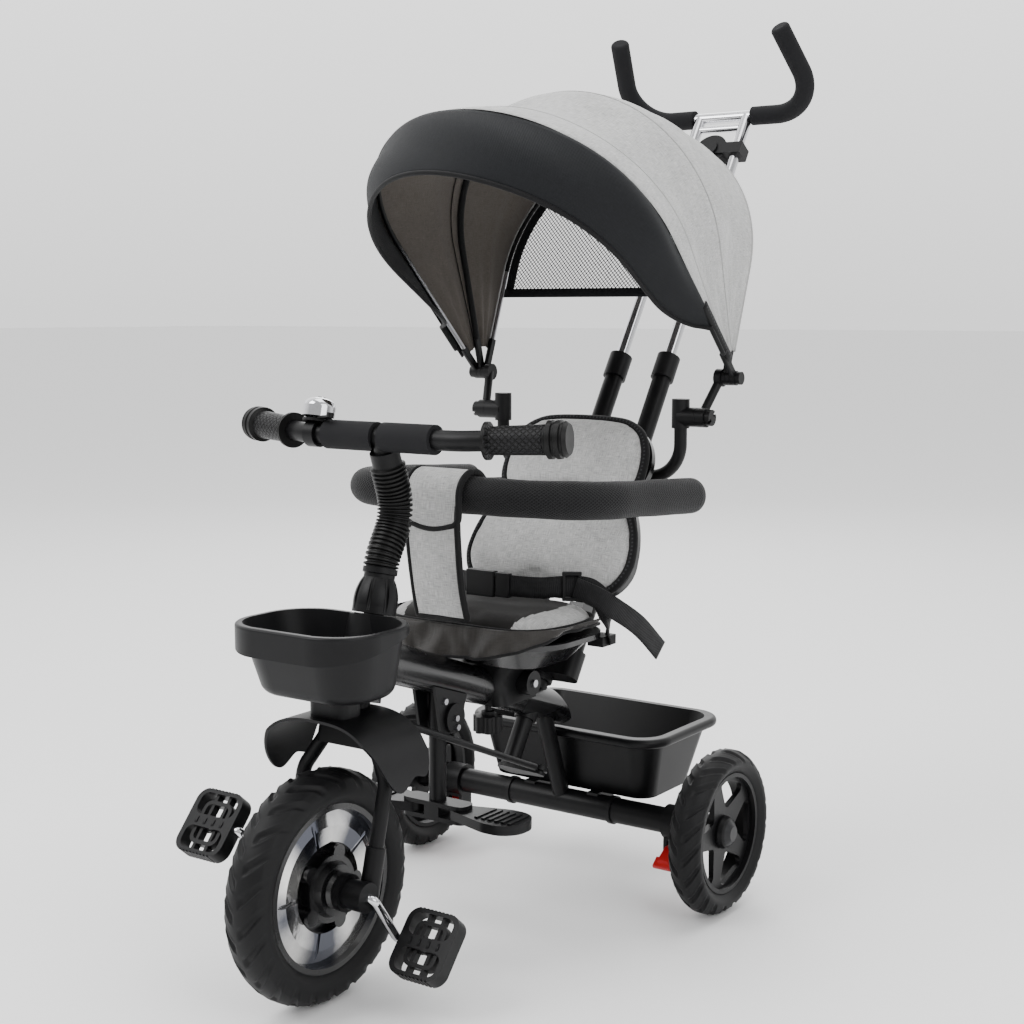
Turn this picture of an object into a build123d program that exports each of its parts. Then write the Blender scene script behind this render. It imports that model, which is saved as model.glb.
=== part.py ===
from build123d import *
import os
from math import cos, hypot, radians, sin, sqrt

# A children's push tricycle. Millimetres, +Z up, +X to the rider's left, the rider faces -Y.
# The origin lies on the floor below the middle of the rear axle.

# Wheels and stance
front_wheel_diameter = 250
front_tyre_width = 52
front_rim_radius = 90
rear_wheel_diameter = 200
rear_tyre_width = 42
rear_rim_radius = 73
wheelbase = 470
rear_track = 452

# Fits
running_gap = 0.05
slip_gap = 0.1
soft_gap = 0.4
seat_gap = 0.3

# Steering axis and fork
head_lean = 14.6
fork_offset = 22
fork_leg_x = 57
fork_leg_radius = 8
fork_leg_set = 14
fork_shoulder_height = 118
crown_half_width = 28
crown_depth = 36
crown_bottom = 148
crown_top = 196
stem_radius = 11
head_tube_radius = 22
head_tube_bottom = 197
head_tube_top = 290
head_bush_radius = 17
head_bush_length = 15

# Crank and pedals
crank_length = 66.6
crank_angle = -54.7
crank_rod_radius = 5
crank_bend = 6
boss_radius = 16
boss_inner = 34
boss_outer = 68
pedal_width = 66
pedal_depth = 74
pedal_thickness = 17
pedal_tilt = 49

# Handlebar and stem
bar_forward = 33
bar_height = 479
bar_half_length = 215
bar_sweep_back = 31
bar_sweep_up = 13
bar_straight = 105
bar_radius = 11
stem_kink_height = 352
stem_bulge_back = 16
stem_bulge_height = 405
stem_bend = 60
collar_gap = 16
collar_length = 16
cap_top = 341
grip_length = 90
grip_radius = 15
pad_radius = 16
pad_inner = 5
pad_outer = 74
bellows_ribs = 24
bellows_crest = 19.5
bellows_root = 16.3
bell_x = -93
bell_radius = 18
bell_wall_height = 12
bell_height = 20
bell_seat = 15
lever_wall = 2.4

# Mudguard and front basket
mudguard_radius = 86
mudguard_wall = 3
mudguard_square = 2.8
mudguard_centre_z = 218
mudguard_front = -474
mudguard_rear = -385
basket_wall = 3
front_basket_top = 405
front_basket_floor = 328
front_basket_width = 172
front_basket_length = 126
front_basket_y = -459
front_basket_taper = 16
front_basket_round = 15

# Main beam, rear axle and rear basket
beam_joint_height = 245
beam_tail_y = -18
beam_tail_z = 227
beam_wall = 2.5
beam_half_width = 20
beam_head_half_height = 23.5
beam_tail_half_height = 20
axle_tube_radius = 16
axle_tube_wall = 3
axle_tube_half = 186
axle_rod_radius = 6
strut_radius = 11
strut_from_tail = 36
rear_basket_rim = 200
rear_basket_width = 282
rear_basket_length = 184
rear_basket_y = 76
rear_basket_taper = 34
rear_basket_side_taper = 16
rear_basket_lip = 11
brake_x = 168

# Seat and backrest
seat_y = -158
seat_width = 248
seat_length = 160
seat_rim = 352
seat_floor = 317
seat_wall = 3.5
seat_pad_height = 28
skirt_wall = 2
back_lean = 28
back_foot_y = -74
back_foot_z = 385
back_height = 244
back_lower_half = 125
back_waist_half = 100
back_upper_half = 109
back_pad_depth = 24
back_shell_depth = 9
knob_y = -165
knob_radius = 18
knob_height = 20
knob_drop = 10
knob_screw = 4

# Guard bar, crotch panel and belt
guard_half_width = 167
guard_front_y = -244
guard_front_z = 520
guard_rear_y = 8
guard_rear_z = 504
guard_bend = 95
guard_tube_radius = 9
guard_foam_radius = 22
guard_arm_y = 4
panel_width = 72
panel_wall = 3
panel_foot_z = 378
belt_width = 25
belt_wall = 2
belt_z = 393
buckle_half = 32
adjuster_inset = 30
adjuster_half = 10

# Footrests
footrest_y = -264
footrest_z = 156
footrest_pin_x = 34
footrest_reach = 90
footrest_width = 60
footrest_thickness = 11
footrest_eye = 14
footrest_lip = 5
post_radius = 10

# Push handle
push_lean = 32.9
push_from_tail = 58
push_tube_x = 37
push_tube_radius = 12.5
push_tube_bore = 8.6
push_tube_top = 470
push_collar_radius = 15.5
push_collar_top = 498
push_inner_radius = 8
push_inner_bottom = 330
push_cross_height = 896
push_shaft_radius = 11
push_bush_radius = 14
push_bush_half = 26
push_block_bottom = 34
push_block_top = 70
push_lever_height = -84
push_lever_reach = 45
horn_x = 150
horn_rise = 104
horn_forward = 84
horn_bend = 55
horn_foam_radius = 13
link_front_x = 30
link_front_back = 30
link_rod_radius = 4

# Canopy
hub_x = 187.5
hub_y = 83
hub_z = 644
clamp_x = 134
clamp_y = 57
clamp_z = 596
support_radius = 8
support_run_y = 58
support_run_z = 520
bow_rod_radius = 3
bow_step = 6.5
cloth_wall = 1.6
cloth_stand_off = 6
rear_bow_angle = -20
rear_bow_height = 330
mid_bow_angle = 15
mid_bow_height = 358
front_bow_angle = 46
front_bow_height = 436
cloth_sag = 14
cloth_foot = 34
visor_reach = 12
visor_drop = 2
visor_narrow = 40
visor_foot = 118
visor_side_rise = 57
window_foot = 106

# Shared places worked out from the sizes above
lean = radians(head_lean)
front_radius = front_wheel_diameter / 2
rear_radius = rear_wheel_diameter / 2
front_axle = Vector(0, -wheelbase, front_radius)
rear_axle = Vector(0, 0, rear_radius)
steer = Plane(
    origin=front_axle + Vector(0, fork_offset * cos(lean), -fork_offset * sin(lean)),
    x_dir=(1, 0, 0),
    z_dir=(0, sin(lean), cos(lean)),
)
beam_head = steer.from_local_coords(Vector(0, 0, beam_joint_height))
beam_tail = Vector(0, beam_tail_y, beam_tail_z)
beam = Plane(origin=beam_head, x_dir=(1, 0, 0), z_dir=beam_tail - beam_head)
beam_length = (beam_tail - beam_head).length
push = Plane(
    origin=beam.from_local_coords(Vector(0, 0, beam_length - push_from_tail)),
    x_dir=(1, 0, 0),
    z_dir=(0, sin(radians(push_lean)), cos(radians(push_lean))),
)
back = Plane(
    origin=(0, back_foot_y, back_foot_z),
    x_dir=(1, 0, 0),
    z_dir=(0, -cos(radians(back_lean)), sin(radians(back_lean))),
)
link_front = steer.from_local_coords(Vector(link_front_x, link_front_back, crown_top - 16))
link_rear = push.from_local_coords(Vector(push_lever_reach, 0, push_lever_height))
crank_turn = radians(crank_angle)
pedal_offset = Vector(0, crank_length * cos(crank_turn), crank_length * sin(crank_turn))
arm_x = boss_outer + crank_bend + 0.5
pedal_inner = arm_x + crank_bend + 1
bar_centre = Vector(0, -bar_forward, bar_height)
bar_corner = Vector(bar_straight, -bar_forward, bar_height)
bar_end = Vector(bar_half_length, bar_sweep_back - bar_forward, bar_height + bar_sweep_up)
rear_wheel_x = rear_track / 2
adjuster_x = seat_width / 2 - adjuster_inset
rear_hub_inner = rear_wheel_x - rear_tyre_width / 2 - 6


def bar(start, end, radius):
    """A round bar from one point to another."""
    start = Vector(start)
    end = Vector(end)
    section = Plane(origin=start, z_dir=end - start) * Circle(radius)
    return extrude(section, (end - start).length)


def along_x(radius, x0, x1, y=0, z=0):
    """A round bar parallel to X."""
    return bar((x0, y, z), (x1, y, z), radius)


def bent_bar(points, bends, radius):
    """A round bar along straight runs joined by arcs."""
    path = FilletPolyline(*points, radius=bends)
    return sweep(Plane(origin=path @ 0, z_dir=path % 0) * Circle(radius), path=path)


def ring_x(outer, inner, x0, x1, y=0, z=0):
    """A plain ring parallel to X."""
    return along_x(outer, x0, x1, y, z) - along_x(inner, x0 - 1, x1 + 1, y, z)


def block(x0, x1, y0, y1, z0, z1):
    """A box given by its corners."""
    return Pos((x0 + x1) / 2, (y0 + y1) / 2, (z0 + z1) / 2) * Box(x1 - x0, y1 - y0, z1 - z0)


def in_steer(shape):
    """Move a shape from the steering axis frame to the tricycle's frame."""
    return steer.location * shape


def in_push(shape):
    """Move a shape from the push handle's frame to the tricycle's frame."""
    return push.location * shape


def mirrored(shape):
    """The same shape on the other side of the tricycle."""
    return mirror(shape, about=Plane.YZ)


def pair(shape):
    """A left and a right copy, kept as two solids."""
    return Compound(children=[*shape.solids(), *mirrored(shape).solids()])


def group(*shapes):
    """Several separate solids that share one node."""
    return Compound(children=[solid for shape in shapes for solid in shape.solids()])


def around(points):
    """A solid of revolution about X from points of (x, radius)."""
    return revolve(make_face(Polyline(*points, close=True)), axis=Axis.X)


# Frame


def beam_section(at, inset=0):
    share = at / beam_length
    half_height = beam_head_half_height + share * (beam_tail_half_height - beam_head_half_height)
    place = Plane(origin=beam.from_local_coords(Vector(0, 0, at)), x_dir=(1, 0, 0), z_dir=beam.z_dir)
    return place * Ellipse(beam_half_width - inset, half_height - inset)


def beam_skin():
    """The beam's outer form, with the sloping cut at its tail."""
    tube = loft([beam_section(0), beam_section(beam_length + 16)])
    slope = Plane(origin=beam.from_local_coords(Vector(0, 0, beam_length)), z_dir=(0, 0.81, 0.58))
    return tube - extrude(slope * Rectangle(120, 160), 80)


def head_hole():
    return in_steer(bar((0, 0, 0), (0, 0, head_tube_top + 60), head_bush_radius))


def main_beam():
    tube_length = head_tube_top - head_tube_bottom
    head = in_steer(Pos(0, 0, head_tube_bottom + tube_length / 2) * Cylinder(head_tube_radius, tube_length))
    hollow = loft([beam_section(head_tube_radius + 8, beam_wall), beam_section(beam_length - 90, beam_wall)])
    shaft_hole = in_push(bar((0, 0, -60), (0, 0, 60), push_bush_radius))
    screw_hole = bar((0, knob_y, beam_tail_z), (0, knob_y, beam_under(knob_y) + 8), knob_screw + running_gap)
    return beam_skin() + head - hollow - head_hole() - shaft_hole - screw_hole


def beam_under(y):
    """Height of the beam's underside at a place along Y."""
    slope = (beam_tail.Z - beam_head.Z) / (beam_tail.Y - beam_head.Y)
    share = (y - beam_head.Y) / (beam_tail.Y - beam_head.Y)
    half = beam_head_half_height + share * (beam_tail_half_height - beam_head_half_height)
    return beam_head.Z + slope * (y - beam_head.Y) - half * hypot(1, slope)


def rear_axle_frame():
    tube = along_x(axle_tube_radius, -axle_tube_half, axle_tube_half, 0, rear_radius)
    top = beam.from_local_coords(Vector(0, 0, beam_length - strut_from_tail))
    strut = bar(top, rear_axle, strut_radius) - beam_skin()
    hole = along_x(axle_tube_radius - axle_tube_wall, -axle_tube_half - 1, axle_tube_half + 1, 0, rear_radius)
    return tube + strut - hole


def axle_rod():
    reach = rear_wheel_x + rear_tyre_width / 2 - 4
    return along_x(axle_rod_radius, -reach, reach, 0, rear_radius)


def brake_housing():
    """A clip round the axle tube with two ears that carry the lever's pin."""
    x0 = brake_x - 13
    x1 = brake_x + 13
    body = along_x(axle_tube_radius + 5, x0, x1, 0, rear_radius)
    body += block(x0, x1, -11, 11, brake_pin_z() - 8, rear_radius)
    body -= along_x(axle_tube_radius + slip_gap, x0 - 1, x1 + 1, 0, rear_radius)
    body -= block(brake_x - 8, brake_x + 8, -30, 30, brake_pin_z() - 20, brake_pin_z() + 9)
    return body + along_x(2.5, x0, x1, 0, brake_pin_z())


def brake_pin_z():
    return rear_radius - axle_tube_radius - 15


def axle_fittings():
    end = ring_x(axle_tube_radius + 3, axle_rod_radius + slip_gap, axle_tube_half, rear_hub_inner - 1)
    band = ring_x(axle_tube_radius + 2, axle_tube_radius + slip_gap, 74, 80)
    rings = Pos(0, 0, rear_radius) * (end + band)
    return group(pair(rings), pair(brake_housing()))


def frame_bushes():
    """Nylon bushes: two in the head tube and one flanged bush for the push shaft."""
    bush = Cylinder(head_bush_radius, head_bush_length) - Cylinder(stem_radius + running_gap, 99)
    low = in_steer(Pos(0, 0, head_tube_bottom + head_bush_length / 2) * bush)
    high = in_steer(Pos(0, 0, head_tube_top - head_bush_length / 2) * bush)
    sleeve = Cylinder(push_bush_radius, 2 * push_bush_half)
    sleeve += Pos(0, 0, push_bush_half + 2) * Cylinder(push_bush_radius + 4, 4)
    sleeve -= Cylinder(push_shaft_radius + running_gap, 200)
    return group(low, high, in_push(sleeve) - beam_skin_around_bush())


def beam_skin_around_bush():
    """What the bush flange has to leave to the beam."""
    return beam_skin() - in_push(bar((0, 0, -80), (0, 0, 80), push_bush_radius))


def seat_bracket():
    """Moulded saddle between the beam and the seat shell, with a round boss on each side."""
    middle = -140
    low = Pos(0, middle, 262) * RectangleRounded(64, 84, 14)
    waist = Pos(0, middle, 290) * RectangleRounded(58, 80, 14)
    high = Pos(0, middle, seat_floor) * RectangleRounded(112, 96, 18)
    body = loft([low, waist, high])
    body += along_x(15, -44, 44, -132, 284)
    return body - beam_skin()


def seat_knob():
    top = beam_under(knob_y) - knob_drop
    outline = Circle(knob_radius - 3)
    for i in range(7):
        outline += Rot(0, 0, i * 360 / 7) * Pos(knob_radius - 5, 0) * Circle(5)
    knob = Pos(0, knob_y, top - knob_height) * extrude(outline, knob_height)
    collar = bar((0, knob_y, top), (0, knob_y, top + 5), 8)
    screw = bar((0, knob_y, top), (0, knob_y, beam_under(knob_y) + 5), knob_screw)
    return knob + collar + screw


def footrest_post():
    """Post under the beam with two side plates and the block that carries both platforms."""
    post = bar((0, footrest_y, footrest_z), (0, footrest_y, beam_under(footrest_y) + 12), post_radius)
    slot_half = footrest_thickness / 2 + seat_gap
    low = footrest_z - slot_half - footrest_lip
    high = footrest_z + slot_half + footrest_lip
    end = footrest_pin_x + 11
    web = block(-end, end, footrest_y - 13, footrest_y + 13, low, high)
    web = fillet(web.edges().filter_by(Axis.Z), 10)
    slot = Pos(0, 0, footrest_z) * block(
        post_radius + seat_gap, 80, footrest_y - 40, footrest_y + 40, -slot_half, slot_half
    )
    pin = bar((footrest_pin_x, footrest_y, low), (footrest_pin_x, footrest_y, high), 4)
    web = web - slot - mirrored(slot) + pin + mirrored(pin)
    plate_profile = make_face(
        Polyline(
            (footrest_y - 26, beam_under(footrest_y - 26) + 8),
            (footrest_y + 34, beam_under(footrest_y + 34) + 8),
            (footrest_y + 20, beam_under(footrest_y) - 44),
            (footrest_y - 14, beam_under(footrest_y) - 44),
            close=True,
        )
    )
    plate_face = Plane.YZ * plate_profile
    plates = Pos(13, 0, 0) * extrude(plate_face, 4)
    disc = along_x(17, 17, 21, footrest_y + 8, beam_under(footrest_y) - 26)
    spacer = along_x(8, -13, 13, footrest_y + 8, beam_under(footrest_y) - 26)
    side = plates + disc
    return post + web + side + mirrored(side) + spacer - beam_skin()


def frame_bolts():
    """Small round screw heads on the side plates, the strut foot and the seat bracket."""
    z = beam_under(footrest_y)
    near = [(17, footrest_y - 8, z - 4), (21, footrest_y + 8, z - 26), (21, footrest_y + 10, z - 37)]
    heads = [along_x(3.5, x, x + 2.5, y, h) for x, y, h in near]
    heads.append(along_x(4.5, 44, 47, -132, 284))
    return group(*[pair(head) for head in heads])


def rear_basket():
    """Tapered tub with a wide rolled rim, carried on the axle tube."""
    floor = rear_radius + axle_tube_radius + seat_gap
    top_y = rear_basket_y
    low_y = rear_basket_y - 8
    top_width = rear_basket_width - rear_basket_lip
    top_length = rear_basket_length - rear_basket_lip
    low_width = top_width - 2 * rear_basket_side_taper
    low_length = rear_basket_length - 2 * rear_basket_taper

    def wall(inset, z_low, z_high):
        low = Pos(0, low_y, z_low) * RectangleRounded(low_width - 2 * inset, low_length - 2 * inset, 24)
        high = Pos(0, top_y, z_high) * RectangleRounded(top_width - 2 * inset, top_length - 2 * inset, 34)
        return loft([low, high])

    rim = Pos(0, top_y, rear_basket_rim - 12) * extrude(
        RectangleRounded(rear_basket_width + rear_basket_lip, rear_basket_length + rear_basket_lip, 43), 12
    )
    rim = fillet(rim.edges().filter_by(Plane.XY), 5.5)
    tub = wall(0, floor, rear_basket_rim - 0.2) + rim
    inner = wall(basket_wall, floor + basket_wall, rear_basket_rim + 0.2)
    cradle = block(40, 56, -6, 34, rear_radius + 4, floor + 2)
    cradle -= along_x(axle_tube_radius + slip_gap, 0, 100, 0, rear_radius)
    return tub + cradle + mirrored(cradle) - inner


# Seat


def seat_form(inset, z_low, z_high):
    low_width = seat_width - 74 - 2 * inset
    low = Pos(0, seat_y + 6, z_low) * RectangleRounded(low_width, seat_length - 54 - 2 * inset, 34)
    high = Pos(0, seat_y, z_high) * RectangleRounded(seat_width - 2 * inset, seat_length - 2 * inset, 56)
    return loft([low, high])


def seat_shell():
    rim = Pos(0, seat_y, seat_rim - 6) * extrude(RectangleRounded(seat_width + 8, seat_length + 8, 60), 6)
    tub = seat_form(0, seat_floor, seat_rim) + rim
    return tub - seat_form(seat_wall, seat_floor + seat_wall, seat_rim + 0.3)


def seat_pad():
    """Crowned cushion with drawn-in sides and one cross channel."""
    base = seat_rim + skirt_wall + soft_gap
    sizes = [(0, -16), (9, 0), (20, -8), (seat_pad_height, -70)]
    layers = [
        Pos(0, seat_y, base + rise) * RectangleRounded(seat_width + grow, seat_length + grow, 50 + grow / 4)
        for rise, grow in sizes
    ]
    cushion = loft(layers)
    groove = along_x(4, -160, 160, seat_y - 28, base + seat_pad_height + 1.5)
    return cushion - groove


def skirt_line(outward, bulge, z):
    """A band round the front half of the seat that waves in and out."""
    half = seat_width / 2 + outward
    front = seat_y - seat_length / 2 - outward
    stops = []
    turn = 66
    stops.append((half, seat_y + 26))
    stops.append((half, seat_y - 14))
    for angle in (0, 18, 36, 54, 72, 90):
        a = radians(angle)
        stops.append((half - turn + turn * cos(a), front + turn - turn * sin(a)))
    stops.append((18, front))
    line = stops + [(-x, y) for x, y in reversed(stops)]

    def edges(points, swell):
        arcs = []
        for i in range(len(points) - 1):
            start = Vector(*points[i])
            end = Vector(*points[i + 1])
            run = end - start
            out = Vector(run.Y, -run.X) / run.length
            sign = 1 if i % 2 == 0 else -1
            mid = (start + end) / 2 + out * swell * sign
            arcs.append(ThreePointArc(start, mid, end))
        return arcs

    inner = [(x * (1 - 2.2 / half), y + 2.2 * (seat_y + 26 - y) / (seat_y + 26 - front)) for x, y in line]
    outline = edges(line, bulge)
    outline.append(Line(line[-1], inner[-1]))
    outline += edges(list(reversed(inner)), -bulge)
    outline.append(Line(inner[0], line[0]))
    return Pos(0, 0, z) * make_face(outline)


def seat_skirt():
    """Draped front apron whose hem rises towards the sides."""
    top = seat_rim + slip_gap + skirt_wall
    cloth = loft([skirt_line(9, 0.5, top), skirt_line(12.5, 2.6, seat_rim - 24)])
    hem_size = 2 * (seat_wall + 4)
    flange = RectangleRounded(seat_width + 16, seat_length + 16, 64)
    flange -= RectangleRounded(seat_width - hem_size, seat_length - hem_size, 50)
    flange &= Pos(0, -seat_length / 2 + 26) * Rectangle(2 * seat_width, seat_length)
    cloth += Pos(0, seat_y, seat_rim + slip_gap) * extrude(flange, skirt_wall)
    hem = Plane(origin=(0, seat_y - seat_length / 2, seat_rim - 18), z_dir=(0, 0.19, -1))
    return cloth - extrude(hem * Rectangle(400, 400), 60)


def back_outline(inset):
    """Hourglass outline in the backrest's own plane, from the foot to the top."""
    lower = back_lower_half - inset
    waist = back_waist_half - inset
    upper = back_upper_half - inset
    foot = inset
    top = back_height - inset
    right = [
        Line((0, foot), (70, foot)),
        ThreePointArc((70, foot), (lower - 9, 20 + inset / 2), (lower, 58)),
        ThreePointArc((lower, 58), (lower - 7, 96), (waist, 132)),
        ThreePointArc((waist, 132), (waist + 1, 146), (upper, 162)),
        ThreePointArc((upper, 162), (upper - 16, top - 14), (48, top)),
        Line((48, top), (0, top)),
    ]
    left = [mirror(edge, about=Plane.YZ) for edge in right]
    return make_face([*right, *left])


def back_layer(depth, inset):
    """The outline at a depth behind the front of the backrest."""
    return back.location * Pos(0, 0, -depth) * back_outline(inset)


def backrest_pad():
    """Cushion with a crowned front, drawn-in edges and a channel at its waist."""
    cushion = loft([back_layer(0, 26), back_layer(7, 6), back_layer(15, 0), back_layer(back_pad_depth, 5)])
    channel = back.location * along_x(5, -200, 200, 134, 2)
    return cushion - channel


def backrest_shell():
    """Moulded back plate with lugs down to the seat and saddles for the canopy's support tube."""
    front = back_pad_depth + soft_gap
    plate = extrude(back_layer(front, 6), -back_shell_depth)
    plate = plate if plate.volume > 0 else extrude(back_layer(front, 6), back_shell_depth)
    back_face_y = back_foot_y + (front + back_shell_depth) / cos(radians(back_lean))
    lug_profile = Polyline(
        (seat_y + seat_length / 2 - 10, seat_floor + 12),
        (seat_y + seat_length / 2 + 16, seat_floor + 12),
        (back_face_y + 4, back_foot_z + 6),
        (back_face_y + 34, back_foot_z + 68),
        (back_face_y + 4, back_foot_z + 54),
        (back_face_y - 24, back_foot_z - 4),
        (seat_y + seat_length / 2 - 10, seat_floor + 30),
        close=True,
    )
    lug = Pos(52, 0, 0) * extrude(Plane.YZ * make_face(lug_profile), 20)
    lug -= seat_form(0, seat_floor, seat_rim)
    lug -= Pos(0, seat_y, seat_rim - 6) * extrude(RectangleRounded(seat_width + 9, seat_length + 9, 60), 6)
    run = support_run_y
    saddle = block(58, 82, 20, run + support_radius + 4, support_run_z - 12, support_run_z + 12)
    in_front = back.location * Pos(0, 195, 60 - front) * Box(600, 400, 120)
    side = (lug + saddle) - in_front
    shell = plate + side + mirrored(side)
    shell -= along_x(support_radius + slip_gap, -120, 120, run, support_run_z)
    return shell - guard_arm(slip_gap) - mirrored(guard_arm(slip_gap))


# Guard bar, crotch panel and belt


def guard_path(rear_y):
    return [
        (guard_half_width, rear_y, guard_height(rear_y)),
        (guard_half_width, guard_front_y, guard_front_z),
        (-guard_half_width, guard_front_y, guard_front_z),
        (-guard_half_width, rear_y, guard_height(rear_y)),
    ]


def guard_height(y):
    share = (y - guard_front_y) / (guard_rear_y - guard_front_y)
    return guard_front_z + share * (guard_rear_z - guard_front_z)


def guard_arm(grow=0):
    """Arm from the guard tube to the edge of the backrest shell."""
    z = guard_height(guard_arm_y)
    points = [
        (guard_half_width, guard_arm_y, z),
        (guard_half_width - 42, guard_arm_y, z),
        (back_waist_half + 6, 25, z),
        (back_waist_half - 22, 25, z),
    ]
    return bent_bar(points, 12, 6 + grow)


def guard_tube():
    tube = bent_bar(guard_path(guard_rear_y), guard_bend, guard_tube_radius)
    return tube + guard_arm() + mirrored(guard_arm())


def guard_foam():
    sleeve = bent_bar(guard_path(guard_rear_y + guard_foam_radius), guard_bend, guard_foam_radius)
    sleeve = fillet(sleeve.edges().sort_by(Axis.Y)[-2:], guard_foam_radius * 0.75)
    sleeve -= bent_bar(guard_path(guard_rear_y + slip_gap), guard_bend, guard_tube_radius + slip_gap)
    arm = guard_arm(slip_gap)
    return sleeve - arm - mirrored(arm)


def crotch_panel():
    """Fabric strap that wraps the guard bar, with a front flap, and hangs to the seat's front edge."""
    inner = guard_foam_radius + soft_gap
    outer = inner + panel_wall
    centre = Pos(0, guard_front_y, guard_front_z)
    wrap = centre * Rot(0, 90, 0) * (Cylinder(outer, panel_width) - Cylinder(inner, panel_width + 2))
    foot_y = seat_y - seat_length / 2 - 14
    tail = Polyline(
        (guard_front_y - outer + panel_wall, guard_front_z),
        (guard_front_y - outer, guard_front_z),
        (guard_front_y - outer - 1, guard_front_z - 40),
        (foot_y - panel_wall, panel_foot_z),
        (foot_y, panel_foot_z),
        (guard_front_y - outer + panel_wall - 1, guard_front_z - 40),
        close=True,
    )
    strip = Pos(-panel_width / 2, 0, 0) * extrude(Plane.YZ * make_face(tail), panel_width)
    strip -= centre * Rot(0, 90, 0) * Cylinder(inner, panel_width + 2)
    flap = Polyline(
        (guard_front_y - outer + 2, guard_front_z + 2),
        (guard_front_y - outer - 3.6, guard_front_z + 2),
        (guard_front_y - outer - 5, guard_front_z - 32),
        (guard_front_y - outer - 2, guard_front_z - 32),
        (guard_front_y - outer - 0.8, guard_front_z - 4),
        close=True,
    )
    flap_form = Pos(-panel_width / 2 - 1, 0, 0) * extrude(Plane.YZ * make_face(flap), panel_width + 2)
    return wrap + strip + flap_form


def belt_points():
    """Plan of the lap belt from one side of the seat to the other."""
    left = [(seat_width / 2 + 6, -104), (adjuster_x - 2, -128), (40, -164)]
    return left + [(-x, y) for x, y in reversed(left)]


def strap(points, bends, wall, z, height):
    """Webbing on edge: a line in plan, thickened and raised."""
    line = FilletPolyline(*points, radius=bends)
    face = Plane(origin=line @ 0, x_dir=(0, 0, 1), z_dir=line % 0) * Rectangle(height, wall)
    return Pos(0, 0, z + height / 2) * sweep(face, path=line)


def belt_webbing():
    low = belt_z - 1
    high = belt_z + belt_width
    lap = strap(belt_points(), 20, belt_wall, belt_z, belt_width)
    lap -= block(-buckle_half, buckle_half, -200, -140, low, high + 1)
    lap -= block(adjuster_x - adjuster_half, adjuster_x + adjuster_half, -150, -100, low, high + 1)
    stations = [
        (adjuster_x + 2, -128.7, 405),
        (adjuster_x + 46, -123.2, 388),
        (adjuster_x + 64, -62, 350),
        (adjuster_x + 68, -32, 320),
    ]
    sections = []
    for i, place in enumerate(stations):
        before = Vector(*stations[max(i - 1, 0)])
        after = Vector(*stations[min(i + 1, len(stations) - 1)])
        run = (after - before).cross(Vector(0, 0, 1)).cross(Vector(0, 0, -1))
        sections.append(Plane(origin=place, x_dir=(0, 0, 1), z_dir=run) * Rectangle(belt_width, belt_wall))
    tail = loft(sections, ruled=True)
    tail -= block(adjuster_x - adjuster_half, adjuster_x + adjuster_half, -150, -100, low, high + 8)
    return group(lap, tail)


def belt_hardware():
    """Buckle, adjuster and the two anchor tabs on the seat shell."""
    half_height = belt_width / 2 + 3
    buckle = Pos(0, -164, belt_z + belt_width / 2) * Box(2 * buckle_half, 9, 2 * half_height)
    buckle = fillet(buckle.edges().filter_by(Axis.Y), 5)
    buckle -= Pos(0, -169.5, belt_z + belt_width / 2) * Box(30, 4, 14)
    adjuster = Pos(adjuster_x, -127, belt_z + belt_width / 2) * Rot(0, 0, 30) * Box(28, 7, belt_width + 8)
    adjuster &= block(adjuster_x - adjuster_half, adjuster_x + adjuster_half, -160, -90, 300, 500)
    outside = seat_width / 2 + 7.5
    tab = block(outside - 3.2, outside, -117, -91, seat_rim - 18, belt_z + belt_width + 2)
    tab += block(100, outside, -117, -91, seat_rim - 18, seat_rim - 2)
    tab -= seat_form(0, seat_floor, seat_rim)
    tab -= Pos(0, seat_y, seat_rim - 6) * extrude(RectangleRounded(seat_width + 8, seat_length + 8, 60), 6)
    tab -= strap(belt_points(), 20, belt_wall + 2 * seat_gap, belt_z - seat_gap, belt_width + 2 * seat_gap)
    return group(buckle, adjuster, pair(tab))


# Steering


def mudguard_form(inset, front, rear):
    """Solid arch with a flattened top, set in from the mudguard's outside."""
    reach = mudguard_radius - inset
    points = []
    for i in range(13):
        turn = radians(15 * i)
        side = 1 if i < 6 else -1
        across = side * reach * abs(cos(turn)) ** (2 / mudguard_square)
        points.append((across, reach * abs(sin(turn)) ** (2 / mudguard_square)))
    face = make_face([Spline(*points), Line(points[-1], points[0])])
    return Pos(0, rear, mudguard_centre_z) * extrude(Plane.XZ * face, rear - front)


def crown_inside():
    """Room under the mudguard that the crown fills."""
    return mudguard_form(mudguard_wall, -600, -200)


def leg_y():
    return fork_leg_set - fork_offset


def fork():
    """Crown with two bent legs and the lever for the steering link."""
    crown = Pos(0, leg_y() / 2, (crown_bottom + crown_top) / 2) * Box(
        2 * crown_half_width + 22, crown_depth, crown_top - crown_bottom
    )
    crown = fillet(crown.edges().filter_by(Axis.Z), 10)
    leg_points = [
        (fork_leg_x, leg_y(), 13),
        (fork_leg_x, leg_y(), fork_shoulder_height),
        (crown_half_width, leg_y(), crown_bottom + 18),
    ]
    leg = bent_bar(leg_points, 28, fork_leg_radius)
    lever_z = crown_top - 16
    root = Pos(0, crown_depth / 2 - 8) * Circle(9)
    tip = Pos(link_front_x, link_front_back) * Circle(7)
    arm = Pos(0, 0, lever_z - 12) * extrude(make_hull([*root.edges(), *tip.edges()]), 4)
    pin = Pos(link_front_x, link_front_back) * bar((0, 0, lever_z - 12), (0, 0, lever_z + 8), 2.5)
    body = crown + leg + mirrored(leg) + arm + pin
    body -= bar((0, 0, crown_bottom + 12), (0, 0, crown_top + 10), stem_radius + slip_gap)
    return in_steer(body) & crown_room()


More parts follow.
